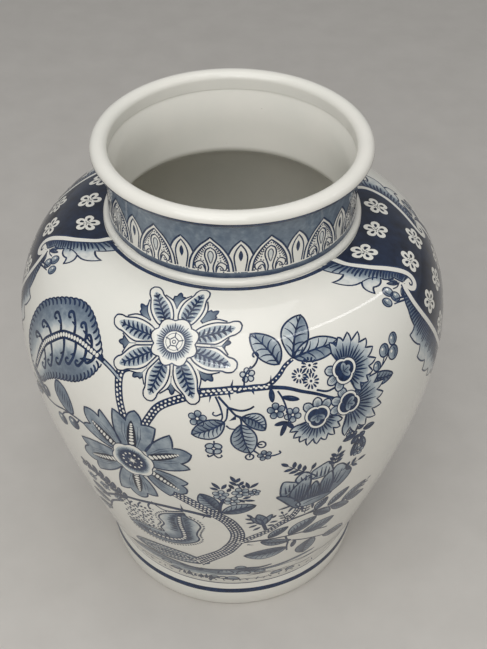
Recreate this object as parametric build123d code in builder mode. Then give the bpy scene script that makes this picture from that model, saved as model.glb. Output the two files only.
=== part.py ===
# Open ginger jar in glazed porcelain, with no lid.
#
# The jar is one fired piece. It is modelled as the clay sections that a thrower makes and
# joins with slip before firing: foot ring, base disc, lower body, upper body, neck, the bead
# round the foot of the neck, and the rolled lip. Neighbours meet face to face.
#
# Frame: millimetres, +Z up, origin at the centre of the foot's resting plane.

import os

from build123d import *

# ---------------------------------------------------------------- driving dimensions
LIP_TOP = 331.0          # overall height
BELLY_RADIUS = 135.0     # widest point of the body
BELLY_HEIGHT = 206.0     # height of the widest point, where the two body halves are joined
WALL = 6.5               # body wall, measured level

FOOT_HEIGHT = 26.0       # top of the foot ring, where the body starts
FOOT_JOINT_RADIUS = 88.0
FOOT_BULGE_RADIUS = 89.0  # fullest part of the foot ring's outside
FOOT_EDGE_RADIUS = 85.6  # outside edge that rests on the table
FOOT_CONTACT_WIDTH = 5.6
FOOT_EDGE_ROUND = 1.4
BASE_RADIUS = 77.5       # base disc, set inside the foot ring
BASE_UNDERSIDE = 16.0    # height of the recess under the base

SHOULDER_TOP = 279.5     # flat seat round the neck
SHOULDER_SEAT_RADIUS = 78.0
SHOULDER_FULLNESS = 0.58  # share of each half-axis used by the shoulder's control points

NECK_RADIUS = 74.8       # outside of the straight part of the neck
NECK_BORE = 70.0         # inside of the straight part of the neck
NECK_STRAIGHT_TOP = 296.0
NECK_TOP = 320.0
NECK_TOP_RADIUS = 77.2
NECK_TOP_BORE = 73.8     # a little wider than the lip, which overhangs it

BEAD_RADIUS = 78.3
BEAD_HEIGHT = 3.9

LIP_CENTRE_RADIUS = 78.1
LIP_HALF_WIDTH = 5.1
LIP_HALF_HEIGHT = 4.6

# ---------------------------------------------------------------- derived sizes
SHOULDER_THICKNESS = WALL + 0.5
SHOULDER_INSIDE = SHOULDER_TOP - SHOULDER_THICKNESS
LIP_CENTRE_HEIGHT = LIP_TOP - LIP_HALF_HEIGHT
LIP_LAND_RADIUS = LIP_CENTRE_RADIUS - LIP_HALF_WIDTH
BELLY_BORE = BELLY_RADIUS - WALL
FOOT_BORE = FOOT_JOINT_RADIUS - WALL
RECESS_EDGE_RADIUS = FOOT_EDGE_RADIUS - FOOT_CONTACT_WIDTH


def lower_wall_points(foot_radius, belly_radius):
    """Control points of the wall that rises from the foot to the belly."""
    foot_lean = 0.36
    foot_reach = 60.0
    belly_reach = 50.0
    return [
        (foot_radius, FOOT_HEIGHT),
        (foot_radius + foot_lean * foot_reach, FOOT_HEIGHT + foot_reach),
        (belly_radius, BELLY_HEIGHT - belly_reach),
        (belly_radius, BELLY_HEIGHT),
    ]


def shoulder_points(belly_radius, top_height):
    """Control points of the wall that closes in from the belly to the neck."""
    rise = (top_height - BELLY_HEIGHT) * SHOULDER_FULLNESS
    run = (belly_radius - SHOULDER_SEAT_RADIUS) * SHOULDER_FULLNESS
    return [
        (belly_radius, BELLY_HEIGHT),
        (belly_radius, BELLY_HEIGHT + rise),
        (SHOULDER_SEAT_RADIUS + run, top_height),
        (SHOULDER_SEAT_RADIUS, top_height),
    ]


os.makedirs("parts", exist_ok=True)

# ---------------------------------------------------------------- foot ring
with BuildPart() as foot_ring:
    with BuildSketch(Plane.XZ):
        with BuildLine():
            ThreePointArc(
                (FOOT_EDGE_RADIUS, 0),
                (FOOT_BULGE_RADIUS, 0.55 * FOOT_HEIGHT),
                (FOOT_JOINT_RADIUS, FOOT_HEIGHT),
            )
            Polyline(
                (FOOT_JOINT_RADIUS, FOOT_HEIGHT),
                (BASE_RADIUS, FOOT_HEIGHT),
                (BASE_RADIUS, BASE_UNDERSIDE),
                (RECESS_EDGE_RADIUS, 0),
                (FOOT_EDGE_RADIUS, 0),
            )
        make_face()
    revolve(axis=Axis.Z)
    resting_edges = foot_ring.edges().filter_by(GeomType.CIRCLE).group_by(Axis.Z)[0]
    fillet(resting_edges, radius=FOOT_EDGE_ROUND)
foot_ring.part.label = "foot_ring"
export_step(foot_ring.part, "parts/foot_ring.step")

# ---------------------------------------------------------------- base disc
with BuildPart() as base_disc:
    with BuildSketch(Plane.XY.offset(BASE_UNDERSIDE)):
        Circle(BASE_RADIUS)
    extrude(amount=FOOT_HEIGHT - BASE_UNDERSIDE)
base_disc.part.label = "base_disc"
export_step(base_disc.part, "parts/base_disc.step")

# ---------------------------------------------------------------- lower body, foot to belly
with BuildPart() as lower_body:
    with BuildSketch(Plane.XZ):
        with BuildLine():
            Bezier(*lower_wall_points(FOOT_JOINT_RADIUS, BELLY_RADIUS))
            Bezier(*lower_wall_points(FOOT_BORE, BELLY_BORE))
            Line((FOOT_BORE, FOOT_HEIGHT), (FOOT_JOINT_RADIUS, FOOT_HEIGHT))
            Line((BELLY_BORE, BELLY_HEIGHT), (BELLY_RADIUS, BELLY_HEIGHT))
        make_face()
    revolve(axis=Axis.Z)
lower_body.part.label = "lower_body"
export_step(lower_body.part, "parts/lower_body.step")

# ---------------------------------------------------------------- upper body, belly to neck
# The neck's bore rolls out under the shoulder in a quarter round as deep as the shoulder is thick.
undercut_radius = NECK_BORE + SHOULDER_THICKNESS

with BuildPart() as upper_body:
    with BuildSketch(Plane.XZ):
        with BuildLine():
            Bezier(*shoulder_points(BELLY_RADIUS, SHOULDER_TOP))
            Line((SHOULDER_SEAT_RADIUS, SHOULDER_TOP), (NECK_BORE, SHOULDER_TOP))
            TangentArc((NECK_BORE, SHOULDER_TOP), (undercut_radius, SHOULDER_INSIDE), tangent=(0, -1))
            Line((undercut_radius, SHOULDER_INSIDE), (SHOULDER_SEAT_RADIUS, SHOULDER_INSIDE))
            Bezier(*shoulder_points(BELLY_BORE, SHOULDER_INSIDE))
            Line((BELLY_BORE, BELLY_HEIGHT), (BELLY_RADIUS, BELLY_HEIGHT))
        make_face()
    revolve(axis=Axis.Z)
upper_body.part.label = "upper_body"
export_step(upper_body.part, "parts/upper_body.step")

# ---------------------------------------------------------------- bead round the neck's foot
with BuildPart() as neck_bead:
    with BuildSketch(Plane.XZ):
        with BuildLine():
            Line((NECK_RADIUS, SHOULDER_TOP), (NECK_RADIUS, SHOULDER_TOP + BEAD_HEIGHT))
            ThreePointArc(
                (NECK_RADIUS, SHOULDER_TOP + BEAD_HEIGHT),
                (BEAD_RADIUS, SHOULDER_TOP + 0.4 * BEAD_HEIGHT),
                (SHOULDER_SEAT_RADIUS, SHOULDER_TOP),
            )
            Line((SHOULDER_SEAT_RADIUS, SHOULDER_TOP), (NECK_RADIUS, SHOULDER_TOP))
        make_face()
    revolve(axis=Axis.Z)
neck_bead.part.label = "neck_bead"
export_step(neck_bead.part, "parts/neck_bead.step")

# ---------------------------------------------------------------- neck
with BuildPart() as neck:
    with BuildSketch(Plane.XZ):
        with BuildLine():
            Line((NECK_BORE, SHOULDER_TOP), (NECK_RADIUS, SHOULDER_TOP))
            Line((NECK_RADIUS, SHOULDER_TOP), (NECK_RADIUS, NECK_STRAIGHT_TOP))
            TangentArc((NECK_RADIUS, NECK_STRAIGHT_TOP), (NECK_TOP_RADIUS, NECK_TOP), tangent=(0, 1))
            Line((NECK_TOP_RADIUS, NECK_TOP), (NECK_TOP_BORE, NECK_TOP))
            TangentArc((NECK_BORE, NECK_STRAIGHT_TOP), (NECK_TOP_BORE, NECK_TOP), tangent=(0, 1))
            Line((NECK_BORE, NECK_STRAIGHT_TOP), (NECK_BORE, SHOULDER_TOP))
        make_face()
    revolve(axis=Axis.Z)
neck.part.label = "neck"
export_step(neck.part, "parts/neck.step")

# ---------------------------------------------------------------- rolled lip
with BuildPart() as lip:
    with BuildSketch(Plane.XZ):
        with Locations((LIP_CENTRE_RADIUS, LIP_CENTRE_HEIGHT)):
            Ellipse(LIP_HALF_WIDTH, LIP_HALF_HEIGHT)
        with Locations((LIP_LAND_RADIUS, NECK_TOP)):
            Rectangle(
                NECK_TOP_RADIUS - LIP_LAND_RADIUS,
                LIP_CENTRE_HEIGHT - NECK_TOP,
                align=(Align.MIN, Align.MIN),
            )
    revolve(axis=Axis.Z)
lip.part.label = "lip"
export_step(lip.part, "parts/lip.step")
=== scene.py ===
import copy
import math

import bpy
import numpy as np
from mathutils import Matrix, Vector, geometry


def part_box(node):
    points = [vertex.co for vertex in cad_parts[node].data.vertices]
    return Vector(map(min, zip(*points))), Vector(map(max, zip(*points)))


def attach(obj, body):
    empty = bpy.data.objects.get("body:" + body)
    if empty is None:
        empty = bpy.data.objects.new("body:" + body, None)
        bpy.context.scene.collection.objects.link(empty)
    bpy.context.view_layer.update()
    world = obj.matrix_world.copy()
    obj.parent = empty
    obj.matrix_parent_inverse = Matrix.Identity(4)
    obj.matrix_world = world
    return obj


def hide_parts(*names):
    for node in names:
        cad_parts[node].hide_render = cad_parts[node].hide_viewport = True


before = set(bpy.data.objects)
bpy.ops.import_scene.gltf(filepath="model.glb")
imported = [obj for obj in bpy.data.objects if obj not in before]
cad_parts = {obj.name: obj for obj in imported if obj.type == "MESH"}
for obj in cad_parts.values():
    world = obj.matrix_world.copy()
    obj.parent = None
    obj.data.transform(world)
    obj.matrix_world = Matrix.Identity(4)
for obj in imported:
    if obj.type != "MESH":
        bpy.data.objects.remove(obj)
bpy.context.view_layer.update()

MM = 0.001
TAU = 2 * math.pi


# ================================================================ sizes, in mm
def reach(node):
    """Lowest height, highest height and outside radius of a CAD node."""
    low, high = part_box(node)
    return [round(size / MM, 1) for size in (low[2], high[2], high[0])]


FOOT_TOP, BELLY, BELLY_RADIUS = reach("lower_body")
SEAT, NECK_TOP, NECK_TOP_RADIUS = reach("neck")
LIP_TOP = reach("lip")[1]
BASE_UNDERSIDE, _, BASE_RADIUS = reach("base_disc")

WALL = 6.5
LOWER_LEAN = (21.6, 60)  # how far the lower wall's first handle leans out, and up
LOWER_RISE = 50          # how far its second handle hangs below the belly
SHOULDER_THICKNESS = 7.0
SHOULDER_FULLNESS = 0.58
FOOT_EDGE_RADIUS = 85.6
FOOT_BULGE = (89.0, 14.3)
FOOT_JOINT_RADIUS = 88.0
RECESS_EDGE_RADIUS = 80.0
RECESS_ROUND = 0.1       # the share of the recess wall that its rounded lower edge takes
EDGE_ROUND = 1.4
SEAT_RADIUS = 78.0
NECK_RADIUS = 74.8
NECK_BORE = 70.0
NECK_TOP_BORE = 73.8
NECK_STRAIGHT_TOP = 296.0
BEAD_TOP = 283.4
BEAD_BULGE = (78.3, 281.06)
LIP_RADIUS = 78.1
LIP_HALF_WIDTH = 5.1
LIP_HALF_HEIGHT = 4.6
LIP_MIDDLE = LIP_TOP - LIP_HALF_HEIGHT
TURNS = 288              # facets round the lathe shells


# ================================================================ curves
def bezier(points, count=60):
    """Samples of the cubic curve with these four control points."""
    a, b, c, d = np.array(points, float)
    t = np.linspace(0, 1, count)[:, None]
    return (1 - t) ** 3 * a + 3 * (1 - t) ** 2 * t * b + 3 * (1 - t) * t**2 * c + t**3 * d


def arc(centre, radii, start, end, count=16):
    """Samples of an elliptical arc; start and end are in degrees."""
    a = np.radians(np.linspace(start, end, count))
    return np.array(centre, float) + np.stack([radii[0] * np.cos(a), radii[1] * np.sin(a)], -1)


def arc_through(a, b, c, count=16):
    """Samples of the circle that runs from a through b to c."""
    a, b, c = (np.array(p, float) for p in (a, b, c))
    lines = 2 * np.array([b - a, c - a])
    centre = np.linalg.solve(lines, [b @ b - a @ a, c @ c - a @ a])
    first, middle, last = (math.atan2(*(p - centre)[::-1]) for p in (a, b, c))
    if (middle - first) % TAU > (last - first) % TAU:
        span = -((first - last) % TAU)
    else:
        span = (last - first) % TAU
    radius = np.linalg.norm(a - centre)
    return arc(centre, (radius, radius), math.degrees(first), math.degrees(first + span), count)


def tangent_arc(foot, lean, rise, count=14):
    """An arc that leaves foot straight up and gains lean in radius over rise in height."""
    radius = (rise**2 + lean**2) / (2 * lean)
    height = np.linspace(0, rise, count)
    return np.stack([foot[0] + radius - np.sqrt(radius**2 - height**2), foot[1] + height], -1)


def corner(a, tip, b, count=7):
    """A rounded corner from a to b that would meet at tip."""
    return bezier([a, np.add(a, tip) / 2, np.add(b, tip) / 2, b], count)


def rows(path, longest=2.4, closed=False):
    """The same path with points added wherever two are further apart than longest."""
    path = np.array(path, float)
    ends = np.vstack([path, path[:1]]) if closed else path
    out = []
    for a, b in zip(ends, ends[1:]):
        count = int(np.linalg.norm(b - a) / longest) + 1
        out.append(a + (b - a) * np.linspace(0, 1, count, endpoint=False)[:, None])
    if not closed:
        out.append(ends[-1:])
    return np.vstack(out)


def join(*runs):
    """Runs of points one after another, without repeats where they meet."""
    points = np.vstack([np.atleast_2d(np.array(run, float)) for run in runs])
    keep = np.ones(len(points), bool)
    keep[1:] = np.linalg.norm(np.diff(points, axis=0), axis=1) > 1e-3
    return points[keep]


def distance(path):
    """How far along the path each of its points is."""
    return np.r_[0, np.cumsum(np.linalg.norm(np.diff(path, axis=0), axis=1))]


def inside(outline, spots):
    """Which of the spots lie inside the closed outline."""
    ahead = np.roll(outline, -1, 0)
    rising = (outline[:, 1] > spots[:, 1:]) != (ahead[:, 1] > spots[:, 1:])
    with np.errstate(divide="ignore", invalid="ignore"):
        slope = (ahead[:, 0] - outline[:, 0]) / (ahead[:, 1] - outline[:, 1])
        cross = outline[:, 0] + (spots[:, 1:] - outline[:, 1]) * slope
    return (rising & (spots[:, :1] < cross)).sum(1) % 2 == 1


def enclosed(outline):
    """Twice the area inside the outline, negative if it runs clockwise."""
    ahead = np.roll(outline, -1, 0)
    return np.sum(outline[:, 0] * ahead[:, 1] - ahead[:, 0] * outline[:, 1])


def outward(profile):
    """Unit normals along an (r, z) profile that runs with the clay on its left."""
    way = np.gradient(profile, distance(profile), axis=0, edge_order=min(2, len(profile) - 1))
    way /= np.linalg.norm(way, axis=1, keepdims=True)
    return np.stack([way[:, 1], -way[:, 0]], -1)


# ================================================================ profiles of the fired clay
def lower_wall(foot_radius, belly_radius, count):
    """The wall from the foot ring to the belly."""
    return bezier([(foot_radius, FOOT_TOP), (foot_radius + LOWER_LEAN[0], FOOT_TOP + LOWER_LEAN[1]),
                   (belly_radius, BELLY - LOWER_RISE), (belly_radius, BELLY)], count)


def shoulder(belly_radius, top, count):
    """The wall from the belly to the foot of the neck."""
    rise = (top - BELLY) * SHOULDER_FULLNESS
    run = (belly_radius - SEAT_RADIUS) * SHOULDER_FULLNESS
    return bezier([(belly_radius, BELLY), (belly_radius, BELLY + rise), (SEAT_RADIUS + run, top),
                   (SEAT_RADIUS, top)], count)


def neck_wall(radius, flare_radius):
    """A straight rise that flares out to flare_radius at the top."""
    straight = rows([(radius, SEAT), (radius, NECK_STRAIGHT_TOP)])
    flare = tangent_arc((radius, NECK_STRAIGHT_TOP), flare_radius - radius, NECK_TOP - NECK_STRAIGHT_TOP)
    return join(straight, flare)


lower_outside = lower_wall(FOOT_JOINT_RADIUS, BELLY_RADIUS, 110)
lower_inside = lower_wall(FOOT_JOINT_RADIUS - WALL, BELLY_RADIUS - WALL, 50)
upper_outside = shoulder(BELLY_RADIUS, SEAT, 70)
upper_inside = shoulder(BELLY_RADIUS - WALL, SEAT - SHOULDER_THICKNESS, 40)
undercut_centre = (NECK_BORE + SHOULDER_THICKNESS, SEAT)
undercut = arc(undercut_centre, (SHOULDER_THICKNESS, SHOULDER_THICKNESS), 180, 270, 10)
neck_outside = neck_wall(NECK_RADIUS, NECK_TOP_RADIUS)
neck_inside = neck_wall(NECK_BORE, NECK_TOP_BORE)
bead_outside = arc_through((SEAT_RADIUS, SEAT), BEAD_BULGE, (NECK_RADIUS, BEAD_TOP), 14)
lip_land = LIP_RADIUS - LIP_HALF_WIDTH
lip_start = 180 + math.degrees(math.acos((LIP_RADIUS - NECK_TOP_RADIUS) / LIP_HALF_WIDTH))
lip_outside = arc((LIP_RADIUS, LIP_MIDDLE), (LIP_HALF_WIDTH, LIP_HALF_HEIGHT), lip_start - 360, 180, 60)
foot_arc = arc_through((FOOT_EDGE_RADIUS, 0), FOOT_BULGE, (FOOT_JOINT_RADIUS, FOOT_TOP), 24)[2:]
foot_contact = (RECESS_EDGE_RADIUS + EDGE_ROUND, FOOT_EDGE_RADIUS - EDGE_ROUND)
foot_outside = join(corner((foot_contact[1], 0), (FOOT_EDGE_RADIUS, 0), foot_arc[0]), foot_arc)
recess = (BASE_RADIUS, BASE_UNDERSIDE)
recess_low = np.array((RECESS_EDGE_RADIUS, 0)) * (1 - RECESS_ROUND) + np.array(recess) * RECESS_ROUND
recess_edge = corner(recess_low, (RECESS_EDGE_RADIUS, 0), (foot_contact[0], 0))
foot_inside = join(rows([recess, recess_low]), recess_edge)


def section(*runs):
    """The runs with straight runs between them and back to the first. A run may be one point."""
    runs = [np.atleast_2d(np.array(run, float)) for run in runs]
    out = []
    for run, following in zip(runs, runs[1:] + runs[:1]):
        if len(run) > 1:
            out.append(run)
        out.append(rows([run[-1], following[0]]))
    return out


# Each shell's runs go round its section with the clay on the left: up the outside, down the inside.
sections = {
    "foot_ring": section(foot_outside, (BASE_RADIUS, FOOT_TOP), foot_inside),
    "base_disc": [rows([(0, BASE_UNDERSIDE), recess], 8),
                  rows([recess, (BASE_RADIUS, FOOT_TOP)], 8),
                  rows([(BASE_RADIUS, FOOT_TOP), (0, FOOT_TOP)], 8)],
    "lower_body": section(lower_outside, lower_inside[::-1]),
    "upper_body": section(upper_outside, join(undercut, upper_inside[::-1])),
    "neck_bead": section(bead_outside, (NECK_RADIUS, SEAT)),
    "neck": section(neck_outside, neck_inside[::-1]),
    "lip": section(join(lip_outside, rows([lip_outside[-1], (lip_land, NECK_TOP)])),
                   (NECK_TOP_RADIUS, NECK_TOP)),
}
FOOT_CONTACT_RUN = 4     # the run of the foot ring's section that rests on the table, left unglazed


def lathe(name, runs, materials, bare_run=None):
    """A closed shell turned from its runs of (r, z) points, sharp where two runs meet and smooth
    between. The bare_run, if there is one, takes the second material."""
    angle = np.arange(TURNS) * TAU / TURNS
    points, faces, normals, slots = [], [], [], []
    rings, total = {}, 0
    for index, run in enumerate(runs):
        out = outward(run)
        for place in run:
            key = tuple(np.round(place, 3))
            if key in rings:
                continue
            r, z = place
            turns = angle if r > 1e-6 else angle[:1]
            points.append(np.stack([r * np.sin(turns), -r * np.cos(turns), turns * 0 + z], -1) * MM)
            rings[key] = (total, len(turns))
            total += len(turns)
        for a, b, na, nb in zip(run, run[1:], out, out[1:]):
            (first, size_a), (second, size_b) = (rings[tuple(np.round(p, 3))] for p in (a, b))
            for k in range(TURNS):
                n = (k + 1) % TURNS
                ends = [(first + k % size_a, na, k), (first + n % size_a, na, n),
                        (second + n % size_b, nb, n), (second + k % size_b, nb, k)]
                if size_a == 1:
                    ends.pop(1)
                if size_b == 1:
                    ends.pop(2)
                faces.append([end[0] for end in ends])
                slots.append(int(index == bare_run))
                for _, (nr, nz), turn in ends:
                    normals.append((nr * math.sin(angle[turn]), -nr * math.cos(angle[turn]), nz))
    mesh = bpy.data.meshes.new(name)
    mesh.from_pydata(np.vstack(points).tolist(), [], faces)
    mesh.shade_smooth()
    mesh.normals_split_custom_set(normals)
    for material in materials:
        mesh.materials.append(material)
    mesh.polygons.foreach_set("material_index", slots)
    piece = bpy.data.objects.new(name, mesh)
    bpy.context.collection.objects.link(piece)
    return piece


# ================================================================ materials
class Nodes:
    """A material's node tree with its Principled shader, and short ways to add to it."""

    def __init__(self, name):
        self.material = bpy.data.materials.new(name)
        self.material.use_nodes = True
        self.tree = self.material.node_tree
        self.shader = self.tree.nodes["Principled BSDF"]
        self.place = self.tree.nodes.new("ShaderNodeTexCoord").outputs["Object"]

    def add(self, kind, **settings):
        node = self.tree.nodes.new(kind)
        for key, value in settings.items():
            if key in node.inputs:
                self.put(value, node.inputs[key])
            else:
                setattr(node, key, value)
        return node

    def put(self, value, socket):
        if isinstance(value, bpy.types.NodeSocket):
            self.tree.links.new(value, socket)
        else:
            socket.default_value = value

    def set(self, **sockets):
        for key, value in sockets.items():
            self.put(value, self.shader.inputs[key.replace("_", " ")])

    def noise(self, size, detail=3):
        """Noise from 0 to 1 with features about size mm across."""
        return self.add("ShaderNodeTexNoise", Vector=self.place, Scale=1 / (size * MM), Detail=detail,
                        Roughness=0.55).outputs["Fac"]

    def ramp(self, value, stops):
        node = self.add("ShaderNodeValToRGB")
        self.put(value, node.inputs["Fac"])
        while len(node.color_ramp.elements) < len(stops):
            node.color_ramp.elements.new(0.5)
        for element, (at, colour) in zip(node.color_ramp.elements, stops):
            element.position = at
            element.color = colour
        return node.outputs["Color"]

    def span(self, value, low, high):
        """A 0 to 1 value stretched to run from low to high."""
        node = self.add("ShaderNodeMapRange")
        self.put(value, node.inputs["Value"])
        self.put(low, node.inputs["To Min"])
        self.put(high, node.inputs["To Max"])
        return node.outputs["Result"]

    def math(self, operation, a, b):
        node = self.add("ShaderNodeMath", operation=operation)
        self.put(a, node.inputs[0])
        self.put(b, node.inputs[1])
        return node.outputs[0]


def srgb(*levels):
    """A colour from 0-255 screen levels."""
    return tuple(((c / 255 + 0.055) / 1.055) ** 2.4 for c in levels) + (1.0,)


def gloss(nodes):
    """The fired glaze's surface: a hard clear gloss with a faint orange peel in it."""
    peel = nodes.math("ADD", nodes.noise(9, 2), nodes.math("MULTIPLY", nodes.noise(2.6, 2), 0.25))
    bump = nodes.add("ShaderNodeBump", Strength=0.12, Distance=0.12 * MM, Height=peel)
    nodes.set(Normal=bump.outputs["Normal"], Coat_Normal=bump.outputs["Normal"])
    nodes.set(Roughness=nodes.span(nodes.noise(30, 3), 0.3, 0.45), Specular_IOR_Level=0.12)
    nodes.set(Coat_Weight=0.9, Coat_Roughness=0.035, Coat_IOR=1.45)
    return nodes.material


def porcelain():
    """White porcelain under clear glaze, a little creamier and greyer in places, with rare pin specks."""
    nodes = Nodes("white_glaze")
    body = nodes.ramp(nodes.noise(60, 4), [(0.3, srgb(231, 230, 221)), (0.7, srgb(240, 237, 228))])
    specks = nodes.add("ShaderNodeTexVoronoi", Vector=nodes.place, Scale=1 / (14 * MM)).outputs["Distance"]
    speck = nodes.ramp(specks, [(0.012, srgb(150, 140, 120)), (0.03, (1, 1, 1, 1))])
    mix = nodes.add("ShaderNodeMix", data_type="RGBA", blend_type="MULTIPLY")
    mix.inputs["Factor"].default_value = 0.5
    nodes.put(body, mix.inputs["A"])
    nodes.put(speck, mix.inputs["B"])
    nodes.set(Base_Color=mix.outputs["Result"])
    return gloss(nodes)


def cobalt(name, dark, light, size):
    """Painted cobalt under the glaze: it pools darker and thins out over a few mm."""
    nodes = Nodes(name)
    pool = nodes.math("ADD", nodes.math("MULTIPLY", nodes.noise(size, 4), 0.65),
                      nodes.math("MULTIPLY", nodes.noise(size * 5, 3), 0.35))
    nodes.set(Base_Color=nodes.ramp(pool, [(0.34, dark), (0.66, light)]))
    return gloss(nodes)


def washed():
    """Thin grey-blue wash. The mesh's ink value says how strong it is, from bare glaze to full."""
    nodes = Nodes("blue_wash")
    ink = nodes.add("ShaderNodeAttribute", attribute_name="ink").outputs["Fac"]
    uneven = nodes.span(nodes.noise(3.5, 4), -0.22, 0.22)
    broad = nodes.span(nodes.noise(16, 2), -0.12, 0.12)
    stained = nodes.math("ADD", ink, nodes.math("ADD", uneven, broad))
    tones = [(0.0, srgb(228, 228, 221)), (0.3, srgb(174, 184, 189)), (0.6, srgb(113, 127, 141)),
             (1.0, srgb(45, 62, 88))]
    nodes.set(Base_Color=nodes.ramp(stained, tones))
    return gloss(nodes)


def bare_clay():
    """Unglazed fired clay where the foot rests on the kiln shelf."""
    nodes = Nodes("bare_clay")
    tones = [(0.3, srgb(205, 196, 180)), (0.7, srgb(224, 217, 203))]
    nodes.set(Base_Color=nodes.ramp(nodes.noise(1.5, 5), tones))
    grain = nodes.add("ShaderNodeBump", Strength=0.5, Distance=0.15 * MM, Height=nodes.noise(0.8, 4))
    nodes.set(Normal=grain.outputs["Normal"], Roughness=nodes.span(nodes.noise(4, 3), 0.75, 0.95))
    return nodes.material


white = porcelain()
TONES = {
    "ink": cobalt("cobalt_line", srgb(14, 27, 54), srgb(40, 62, 98), 2.2),
    "wash": washed(),
    "white": white,
    "ground": cobalt("cobalt_ground", srgb(10, 19, 36), srgb(30, 44, 70), 7),
}

for node, runs in sections.items():
    bare = node == "foot_ring"
    materials = [white, bare_clay()] if bare else [white]
    shell = lathe(node + "_glazed", runs, materials, FOOT_CONTACT_RUN if bare else None)
    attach(shell, "root")
    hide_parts(node)


# ================================================================ painting
class Skin:
    """An outside surface of revolution that can be painted on. A place on it is an angle from the
    front and a distance up its profile from its lowest point."""

    def __init__(self, profile):
        self.profile = np.array(profile, float)
        self.run = distance(self.profile)
        self.normal = outward(self.profile)

    def radius(self, s):
        return np.interp(s, self.run, self.profile[:, 0])

    def level(self, z):
        """The distance up the profile at height z."""
        return float(np.interp(z, self.profile[:, 1], self.run))

    def place(self, angle, s, lift):
        """World points in metres, lifted off the surface by lift mm, and their normals."""
        columns = np.hstack([self.profile, self.normal]).T
        r, z, nr, nz = (np.interp(s, self.run, column) for column in columns)
        out = r + nr * lift
        points = np.stack([out * np.sin(angle), -out * np.cos(angle), z + nz * lift], -1)
        return points * MM, np.stack([nr * np.sin(angle), -nr * np.cos(angle), nz], -1)


BODY = Skin(join(lower_outside, upper_outside))
NECK = Skin(neck_outside)
FOOT = Skin(foot_outside)
LIP = Skin(lip_outside[:26])

BRUSH = 1.3              # how much fuller the brush is than the widths given to its strokes
LIFT = 0.05              # of the first layer of paint above the glaze
LAYER = 0.025            # of each layer above the last
STROKE_STEP = 2.2        # the longest gap between a stroke's points
EDGE_STEP = 2.4          # and between the points round a patch
FILL_GRID = 3.0          # between the points inside a patch
painted = {}             # (group, tone): lists of points, normals, triangles and ink
ROUND = np.arange(0, 360, 5.0)   # the angles of a lobed outline's points, in degrees


def keep_paint(group, tone, places, normals, triangles, ink):
    """Adds a patch to what is painted. ink is one value, or one for each of its places."""
    store = painted.setdefault((group, tone), [[], [], [], [], 0])
    for held, new in zip(store, (places, normals, triangles + store[4], ink + np.zeros(len(places)))):
        held.append(new)
    store[4] += len(places)


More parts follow.
